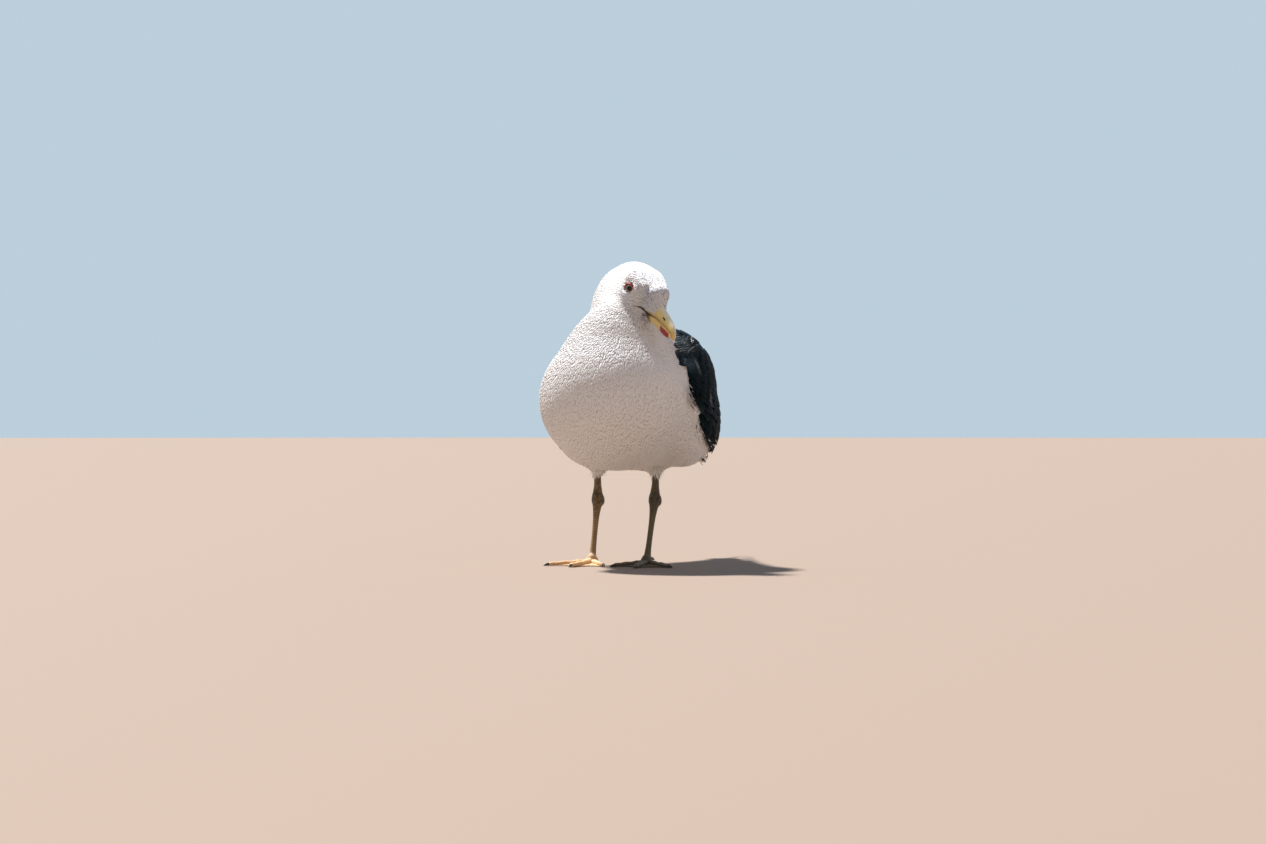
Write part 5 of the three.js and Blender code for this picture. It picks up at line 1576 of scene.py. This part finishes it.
def make_eye(name, side, eye_finish, lid_finish):
    centre, aim = eye_place(side)
    profile = []
    for a in np.linspace(0, math.pi, EYE_STEPS):
        r = EYE_R * math.sin(a)
        bulge = CORNEA * float(eased(4.6, 1.0, r)) if a < 1.5 else 0
        profile.append((r, EYE_R * math.cos(a) + bulge))
    points, faces = lathe(profile, EYE_ROUND, centre, aim)
    eye = new_piece("eyeball_" + name, points, faces, eye_finish)
    q = points - centre
    gaze = unit(aim + GAZE * HEAD[0])
    out = q @ gaze
    aside = np.linalg.norm(q - out[:, None] * gaze, axis=1)
    mark(eye, aside=np.where(out > 0, aside, 9))
    finished(eye, "eye", "eye_" + name)
    # the bare ring: an almond of flesh, notched along its rim
    one = unit(HEAD[0] - (HEAD[0] @ aim) * aim)
    two = np.cross(aim, one) * side
    if two @ HEAD[2] < 0:
        two = -two
    a, b = np.meshgrid(turns(LID_ROUND), turns(LID_WIRES), indexing="ij")
    knob = 1 + 0.06 * np.sin(17 * a + 1) + 0.05 * np.sin(29 * a)  # notches round the rim
    thick = mix(0.36, 1.0, eased(-0.7, 0.9, np.sin(a) - 0.8 * np.cos(a)))
    radius = RING_R + RING_OVAL * np.cos(2 * a - 0.5) + RING_WIDE * thick * knob * np.cos(b)
    height = np.sqrt(EYE_R**2 - LID_R**2) - 0.15 + RING_HIGH * thick * np.sin(b) * knob - 0.12 * (radius - LID_R)
    place = centre + (radius * np.cos(a))[..., None] * one + (radius * np.sin(a))[..., None] * two
    points = (place + height[..., None] * aim).reshape(-1, 3)
    faces = facing_out(points, ring_faces(LID_ROUND, LID_WIRES, looped=True))
    lid = new_piece("lid_ring_" + name, points, faces, lid_finish)
    mark(lid, inner=eased(-0.3, -0.95, np.cos(b)).ravel(),
         dusky=eased(0.1, -0.9, np.sin(a) - 0.4 * np.cos(a)).ravel())
    finished(lid, "eyelid_red", "eyelid_" + name)


# ------------------------------------------------------------------ legs and feet

# Oval rings along a limb: [share of the way, half width, half depth]
TARSUS_RINGS = [[-0.03, 4.3, 4.8], [0.07, 3.5, 4.4], [0.2, 2.9, 3.9], [0.45, 2.75, 3.7], [0.7, 3.2, 4.0],
                [0.86, 4.3, 5.0], [0.95, 5.5, 6.2], [1.03, 5.8, 6.0], [1.06, 5.4, 5.4]]
SHIN_RINGS = [[-0.06, 5.4, 5.6], [0.06, 5.7, 5.9], [0.2, 4.7, 5.2], [0.38, 3.7, 4.6], [0.75, 3.6, 4.4], [1, 4.2, 5.2]]


def limb(start, end, rings):
    wide, deep = track(rings, 1), track(rings, 2)
    run = end - start
    long = np.linalg.norm(run)

    def field(p):
        t = (p - start) @ run / long**2
        q = p - start - t[:, None] * run
        w, d = wide(t), deep(t)
        r = np.sqrt((q[:, 0] / w) ** 2 + (q[:, 1] / d) ** 2)
        return np.maximum((r - 1) * np.minimum(w, d), np.maximum(rings[0][0] - t, t - rings[-1][0]) * long)

    return field


def toe_aim(side, turn):
    return np.array([math.sin(math.radians(turn)) * side, -math.cos(math.radians(turn)), 0])


TOE_SHARES = (0, 0.2, 0.5, 0.8, 1)


def toe_line(side, turn, length, thick):
    """The way a toe points, and places along its middle."""
    root, aim = toe_root(side), toe_aim(side, turn)
    heights = [4.8, thick + 0.2, thick - 0.3, 0.8 * thick, 0.7 * thick]
    points = [np.array([root[0], root[1], z]) + aim * length * share for share, z in zip(TOE_SHARES, heights)]
    return aim, np.array(points)


def hallux_line(side):
    """The way the small hind toe points, its root and its tip."""
    aim, ground = toe_aim(side, HALLUX["turn"]), toe_root(side) * [1, 1, 0]
    tip = ground + aim * (HALLUX["length"] + 3) + [0, 0, HALLUX["high"] - 2.5]
    return aim, ground + [0, 0, HALLUX["high"]], tip


def toe(side, turn, length, thick):
    """A toe with rounder pads at its joints."""
    _, line = toe_line(side, turn, length, thick)
    fine = np.linspace(0, 1, 13)
    path = np.stack([np.interp(fine, TOE_SHARES, line[:, c]) for c in range(3)], 1)
    radius = thick * mix(1.22, 0.74, fine) * (1 + 0.13 * np.cos(fine * 6 * math.pi))
    return melt(0.8, [round_cone(path[i], path[i + 1], radius[i], radius[i + 1]) for i in range(12)])


def leg_field(side):
    root, joint, top = toe_root(side), heel(side), shin_top(side)
    parts = [
        limb(root, joint, TARSUS_RINGS), limb(joint, top, SHIN_RINGS),
        *[ellipsoid(joint + [3.2 * end, 2.2, -1.5], (3.4, 4.2, 5.0)) for end in (side, -side)],  # knuckles
        ellipsoid(joint + [0, 5.0, 3.5], (3.4, 2.6, 5.5)),
        ellipsoid(root + [0, -0.5, -1.2], (6.4, 6.0, 4.6)),  # ankle
        ellipsoid(root + [0, -3.6, 1.6], (4.0, 3.4, 3.6)),
    ]
    parts += [toe(side, turn, length, thick) for _, turn, length, thick in TOES]
    parts.append(round_cone(*hallux_line(side)[1:], 2.3, 1.6))
    blended = melt(2.2, parts)
    return lambda p: np.maximum(blended(p), 0.02 - p[:, 2])


LEG_CELL = 0.62
SHANK_SCUTE, TOE_SCUTE, GROOVE = 2.9, 2.1, 0.2  # lengths of the scutes, and the grooves' depth
LEG_LOW, LEG_HIGH = [-46, -62, -7.5], [46, 40, 108]  # of the leg's box, from its ankle


def make_leg(name, side, material, claw_finish):
    root, joint, field = toe_root(side), heel(side), leg_field(side)
    points, faces = skin_of(field, root + LEG_LOW, root + LEG_HIGH, LEG_CELL)
    out = unit(rise(field, points))
    # scutes: shallow grooves across the front of the tarsus and the tops of the toes
    run = joint - root
    t = (points - root) @ run / (run @ run)
    on_shank = eased(0.08, 0.16, t) * eased(0.93, 0.84, t)
    climb = t * np.linalg.norm(run) * on_shank
    front = eased(0.25, 0.8, -out[:, 1])
    groove = on_shank * front * eased(0.55, 0.95, np.cos(2 * math.pi * climb / SHANK_SCUTE))
    best = np.full(len(points), 1e9)
    ring = np.zeros(len(points))
    for _, turn, length, thick in TOES:
        aim, _ = toe_line(side, turn, length, thick)
        q = (points - root) * [1, 1, 0]
        step = q @ aim
        gap = np.linalg.norm(q - step[:, None] * aim, axis=1) + np.where(step < 0, 99, 0)
        ring = np.where(gap < best, step, ring)
        best = np.minimum(best, gap)
    on_toe = eased(9, 12, ring) * eased(9, 7.5, points[:, 2]) * eased(0.1, 0.6, out[:, 2])
    groove = groove + on_toe * eased(0.5, 0.95, np.cos(2 * math.pi * ring / TOE_SCUTE))
    points = points - out * (GROOVE * groove * (points[:, 2] > 0.3))[:, None]
    points[:, 2] = np.maximum(points[:, 2], 0)
    piece = new_piece("leg_" + name, points, faces, material)
    over_heel = points[:, 2] - joint[2]
    # dark mottling round the heel, and from a little above it painted shade over the shin
    knob = np.maximum(bell(over_heel, 3, 16), 0.6 * eased(4, 16, over_heel))
    mark(piece, groove=groove, knob=knob, foot=eased(16, 7, points[:, 2]), sole=eased(-0.4, -0.9, out[:, 2]),
         scute=np.maximum(on_shank * front, on_toe))
    finished(piece, "leg_skin", "shin_" + name, "tarsus_" + name, "foot_" + name)
    make_webs(name, side, material)
    for toe_name, turn, length, thick in TOES:
        aim, line = toe_line(side, turn, length, thick)
        make_claw(f"{toe_name}_{name}", line[-1], aim, 1.0, claw_finish)
    aim, _, tip = hallux_line(side)
    make_claw("hallux_" + name, tip, aim, 0.55, claw_finish)


WEB = {"low": 0.15, "high": 1.15, "bow": 0.72, "rows": 40, "columns": 26}


def make_webs(name, side, material):
    """The skin between the toes, drawn back between their tips and creased along its length."""
    uppers, lowers = [], []
    t, u = np.meshgrid(np.linspace(0, 1, WEB["rows"]), np.linspace(0, 1, WEB["columns"]), indexing="ij")
    for one, two in zip(TOES, TOES[1:]):
        first, second = toe_line(side, *one[1:])[1], toe_line(side, *two[1:])[1]
        bow = 1 - (1 - WEB["bow"]) * 4 * u * (1 - u)
        ripple = 1 + 0.012 * np.sin(u * 21) * t
        reach = mix(0.02, 0.93 * bow * ripple, t)[..., None]
        p = mix(first[0] * [1, 1, 0], first[-1] * [1, 1, 0], reach)
        q = mix(first[0] * [1, 1, 0], second[-1] * [1, 1, 0], reach)
        at = mix(p, q, u[..., None])
        crease = 0.16 * np.sin(u * 34 + 3 * np.sin(t * 2)) + 0.1 * np.sin(u * 61 + t * 9)
        crease = crease * np.sin(math.pi * u) * eased(0.1, 0.35, t)
        high = WEB["high"] + 2.9 * (1 - t) ** 2 + crease
        thin = mix(1, 0.6, eased(0.8, 1, t))
        uppers.append(np.stack([at[..., 0], at[..., 1], WEB["low"] + (high - WEB["low"]) * thin], -1))
        lowers.append(np.stack([at[..., 0], at[..., 1], WEB["low"] + 0 * high], -1))
    points, faces = closed_sheets(np.array(uppers), np.array(lowers))
    piece = new_piece("web_" + name, points, facing_out(points, faces), material)
    zero = np.zeros(len(points))
    mark(piece, groove=zero, knob=zero, foot=zero + 1, sole=zero, scute=zero)
    finished(piece, "foot_skin")


def make_claw(name, tip, aim, size, material):
    across = unit(np.cross(aim, [0, 0, 1]))
    t = np.linspace(0, 1, CLAW["rings"])
    r = 1.22 * CLAW["thick"] * size * np.sqrt(np.clip(1 - t**1.7, 0, 1)) * 1.02
    r[-1] = 0.04
    drop = np.maximum(tip[2] - 0.27 * t**2 * CLAW["length"] * size, r * 0.96 + 0.1)
    centre = tip + aim * (t[:, None] * CLAW["length"] * size)
    centre[:, 2] = np.minimum(tip[2] + 0.3, drop)
    a = turns(CLAW["round"])
    ring = np.cos(a)[:, None] * across * 0.85 + np.sin(a)[:, None] * np.array([0, 0, 1.0])
    points = (centre[:, None] + r[:, None, None] * ring[None]).reshape(-1, 3)
    faces = facing_out(points, ring_faces(CLAW["rings"], CLAW["round"]))
    finished(new_piece("nail_" + name, points, faces, material), "claw", "claw_" + name)


# ------------------------------------------------------------------ finishes


def plumage_white(tufted):
    """White feathers: faintly warm and cool in turns, with grey flecks on the head, a painted bluish skylight over the
    forehead, brows and eyes, and painted shade at the tufts' roots.
    """
    finish = Finish("plumage_white")
    grain = finish.noise(1500.0, 2.0)
    shade, along = 0.5, 0.4
    if tufted:  # each tuft takes its pattern from where it is rooted
        finish.place = finish.mark("root", "Vector")
        shade, along = finish.marks("shade", "along")
    speckle_and_skylight = finish.mark("speckle_and_skylight")
    tone = finish.scaled(shade, 0.4, finish.times(finish.noise(28.0), 0.6))
    white = finish.blend((0.81, 0.80, 0.79), (0.88, 0.87, 0.86), tone)
    white = finish.blend((0.45, 0.44, 0.44), white, finish.scaled(along, 0.07, 0.94))  # greyer at the roots: painted shade where each tuft lies under its neighbours
    cut = finish.maths("SUBTRACT", 0.74, finish.times(speckle_and_skylight, 0.24))
    fine = finish.ramp(finish.maths("SUBTRACT", finish.noise(330.0, 2.0, 0.6), cut), 0.0, 0.05, "LINEAR")
    fine = finish.times(fine, finish.times(finish.ramp(speckle_and_skylight, 0.04, 0.2), 0.6))
    large = finish.ramp(finish.scaled(shade, 0.35, finish.mark("fleck")), 0.3, 0.85)
    colour = finish.washed(
        white,
        # a painted bluish skylight on the forehead, the brows and round the eyes
        ((0.62, 0.67, 0.78), finish.times(speckle_and_skylight, 0.45)),
        ((0.075, 0.078, 0.095), finish.maths("MAXIMUM", fine, finish.times(large, 0.85))),
    )
    return finish.done(colour, 0.75, grain, 0.25, 0.0003, Specular_IOR_Level=0.25, Sheen_Weight=0.15,
                       Sheen_Roughness=0.4)


def feather_finish(name, dark, light, edge, roughness=0.55):
    """Vanes with a dark shaft, fine barbs, a paler edge and, where marked, a white tip, under soft patches and pale
    streaks of painted sheen.
    """
    finish = Finish(name)
    along, across, shade, pale = finish.marks("along", "across", "shade", "pale")
    white, barb, reach, worn, painted_sheen_and_shade, painted_sheen_streak = finish.marks("white", "barb", "reach", "worn", "painted_sheen_and_shade", "painted_sheen_streak")
    tone = finish.scaled(shade, 0.45, finish.times(finish.noise(45.0, 4.0), 0.6))
    # soft patches of painted sheen, where the slate is drawn lighter
    patch = finish.ramp(finish.noise(60.0, 2.0), 0.52, 0.68)
    brown = finish.blend((0.036, 0.05, 0.06), (0.27, 0.21, 0.18), finish.ramp(finish.noise(520.0), 0.56, 0.66))
    aside = finish.maths("ABSOLUTE", across)
    rim = finish.maths("MAXIMUM", finish.ramp(aside, 0.78, 1.0), finish.ramp(along, 0.9, 1.0))
    rim = finish.times(finish.times(rim, pale), finish.ramp(along, 0.25, 0.6))
    left = finish.times(finish.maths("SUBTRACT", 1.0, along), reach)  # mm to the tip
    colour = finish.washed(
        finish.blend(dark, light, tone),
        # the painted sheen patches
        ([c * 1.7 for c in light], finish.times(patch, 0.55)),
        (brown, finish.times(worn, 0.85)),
        # painted sheen, and painted grey for white feathers in shade
        ((0.06, 0.10, 0.13), finish.times(painted_sheen_and_shade, 0.85)),
        # pale streaks of painted highlight
        ((0.30, 0.33, 0.35), finish.times(painted_sheen_streak, 0.8)),
        (edge, rim),
        ([c * 0.5 for c in dark], finish.times(finish.ramp(aside, 0.09, 0.02), 0.5)),  # the shaft
        ((0.8, 0.79, 0.77), finish.times(finish.ramp(left, 5.0, 2.5), finish.ramp(white, 0.0, 0.6))),
    )
    strands = finish.maths("SINE", finish.times(barb, 7.5))
    return finish.done(colour, roughness, finish.scaled(strands, 0.35, finish.noise(900.0, 2.0)), 0.35, 0.0003,
                       Specular_IOR_Level=0.04, Sheen_Weight=0.0, Sheen_Roughness=0.4)


def bill_finish():
    """Yellow horn, ochre along its cutting edges and tip, with a red spot and fine growth lines; its ridge is painted
    pale as a highlight and its nostril painted dark as shade.
    """
    finish = Finish("bill_yellow")
    red, edge, slit, reach, arch, below = finish.marks("red", "edge", "slit", "reach", "arch", "below")
    wash = finish.noise(160.0, 4.0, 0.6)
    corner = finish.times(finish.ramp(reach, 36.0, 30.0), finish.ramp(wash, 0.2, 0.45))
    patchy = finish.ramp(finish.maths("ADD", red, finish.noise(420.0)), 0.9, 1.3)
    flecks = finish.ramp(finish.noise(700.0, 2.0), 0.66, 0.74)
    colour = finish.washed(
        finish.blend((0.88, 0.62, 0.16), (0.98, 0.81, 0.36), wash),
        ((0.97, 0.92, 0.74), finish.times(finish.ramp(arch, 0.55, 0.95), 0.85)),  # the ridge, painted pale as a highlight
        ((0.36, 0.17, 0.03), finish.times(edge, finish.scaled(wash, 0.8, 0.3))),
        ((0.62, 0.40, 0.10), finish.times(finish.ramp(reach, 64.0, 72.5), 0.75)),  # the tip
        ((0.62, 0.52, 0.28), finish.times(finish.ramp(reach, 34.0, 24.0), 0.35)),  # the base
        ((0.055, 0.045, 0.035), finish.times(corner, below)),
        ((0.42, 0.012, 0.008), finish.times(red, patchy)),
        ((0.012, 0.008, 0.006), finish.ramp(slit, 0.25, 0.7)),  # the nostril, painted dark as the shade inside its opening
        ((0.30, 0.17, 0.05), finish.times(flecks, 0.35)),
    )
    height = finish.scaled(finish.noise(240.0), 1.0, finish.times(finish.noise(1100.0), 0.25))
    return finish.done(colour, 0.33, height, 0.22, 0.0005, Coat_Weight=0.5, Coat_Roughness=0.22,
                       Subsurface_Weight=0.35, Subsurface_Radius=(1.0, 0.7, 0.35), Subsurface_Scale=0.004)


def eye_finish():
    """A pale olive iris, darker and streaked towards its rim, round a black pupil, under a wet gloss."""
    finish = Finish("eye")
    aside = finish.mark("aside")
    iris = finish.blend((0.13, 0.128, 0.09), (0.40, 0.385, 0.28), finish.noise(1500.0, 3.0, 0.7))
    iris = finish.blend(iris, (0.09, 0.08, 0.05), finish.ramp(aside, IRIS - 0.7, IRIS + 0.1))
    colour = finish.blend((0.002, 0.002, 0.002), iris, finish.ramp(aside, PUPIL - 0.12, PUPIL + 0.12))
    colour = finish.blend(colour, (0.01, 0.008, 0.007), finish.ramp(aside, IRIS, IRIS + 0.35))
    return finish.done(colour, 0.1, Specular_IOR_Level=0.25, Coat_Weight=0.25, Coat_Roughness=0.03)


def lid_finish():
    finish = Finish("eyelid_red")
    colour = finish.washed(
        finish.blend((0.33, 0.012, 0.008), (0.56, 0.05, 0.022), finish.noise(900.0)),
        ((0.20, 0.085, 0.07), finish.times(finish.mark("dusky"), 0.75)),
        ((0.02, 0.006, 0.005), finish.mark("inner")),
    )
    cells = finish.add("ShaderNodeTexVoronoi", {"Vector": finish.place, "Scale": 1700.0}).outputs["Distance"]
    return finish.done(colour, 0.42, cells, 0.4, 0.0003)


def leg_finish(name, shank, shank_dark, foot_tone):
    """Scaled skin: olive and ochre on the shank, darker in the grooves and round the heel, with painted shade on the
    shin above it, warmer on the foot.
    """
    finish = Finish(name)
    groove, knob, foot, scute = finish.marks("groove", "knob", "foot", "scute")
    wash = finish.noise(130.0, 4.0, 0.6)
    blotch = finish.ramp(finish.noise(330.0, 3.0, 0.6), 0.36, 0.62)
    cells = finish.add("ShaderNodeTexVoronoi", {"Vector": finish.place, "Scale": 780.0}, feature="DISTANCE_TO_EDGE")
    gaps = finish.ramp(cells.outputs["Distance"], 0.0, 0.16)
    netted = finish.times(finish.maths("SUBTRACT", 1.0, scute), finish.maths("SUBTRACT", 1.0, gaps))
    colour = finish.washed(
        finish.blend(shank_dark, shank, wash),
        (foot_tone, finish.times(foot, finish.scaled(wash, 0.5, 0.55))),
        # dark mottling round the heel, and painted shade on the shin above it
        ((0.014, 0.017, 0.012), finish.times(knob, finish.scaled(blotch, 0.75, 0.22))),
        ((0.10, 0.065, 0.025), finish.times(groove, 0.6)),
        ((0.13, 0.08, 0.03), finish.times(netted, 0.45)),
    )
    height = finish.maths("SUBTRACT", finish.times(finish.noise(900.0), 0.4), netted)
    return finish.done(colour, 0.46, height, 0.5)


def mottled(name, dark, light, scale, roughness, grain, strength, distance=0.0003, detail=3.0):
    """Two tones in soft patches, with a fine grain."""
    finish = Finish(name)
    colour = finish.blend(dark, light, finish.noise(scale, detail))
    return finish.done(colour, roughness, finish.noise(grain), strength, distance)


# ------------------------------------------------------------------ the bird

skin = make_skin(plumage_white(False))
tuft_white = plumage_white(True)
make_coat(skin, tuft_white)
make_wisps(skin, tuft_white)
finished(skin, "plumage_white", "torso", "neck", "head", "thigh_left", "thigh_right")

wing_finish = feather_finish("wing_slate", (0.0006, 0.004, 0.0065), (0.004, 0.0125, 0.0175), (0.055, 0.068, 0.075))
mantle_finish = feather_finish("mantle_slate", (0.003, 0.008, 0.011), (0.014, 0.022, 0.028), (0.09, 0.09, 0.09))
tail_finish = feather_finish("tail_white", (0.7, 0.69, 0.68), (0.85, 0.84, 0.82), (0.9, 0.9, 0.88), 0.7)
bed_finish = mottled("feather_bed", (0.01, 0.013, 0.016), (0.03, 0.036, 0.04), 90.0, 0.7, 400.0, 0.3, 0.0004, 4.0)
for name, side in SIDES:
    make_wing(name, side, wing_finish, bed_finish)
make_barbs(wing_finish)
make_back(mantle_finish, bed_finish)
make_tail(tail_finish)

make_bill(bill_finish())
eyes, lids = eye_finish(), lid_finish()
nails = mottled("claw", (0.008, 0.008, 0.01), (0.045, 0.04, 0.038), 420.0, 0.32, 900.0, 0.2)
gape_dark = mottled("gape_dark", (0.014, 0.011, 0.012), (0.07, 0.05, 0.045), 500.0, 0.5, 1300.0, 0.4)
# both legs are one colour in life: the left leg's tones are darkened as painted shade where the body's shadow falls,
# the right leg's lightened and warmed as painted sunlight
legs = {
    "left": leg_finish("leg_skin", (0.20, 0.155, 0.065), (0.08, 0.066, 0.03), (0.12, 0.09, 0.05)),
    "right": leg_finish("leg_skin_painted_sunlit", (0.43, 0.265, 0.105), (0.19, 0.125, 0.05), (0.90, 0.58, 0.30)),
}
for name, side in SIDES:
    make_gape(name, side, gape_dark)
    make_eye(name, side, eyes, lids)
    make_leg(name, side, legs[name], nails)
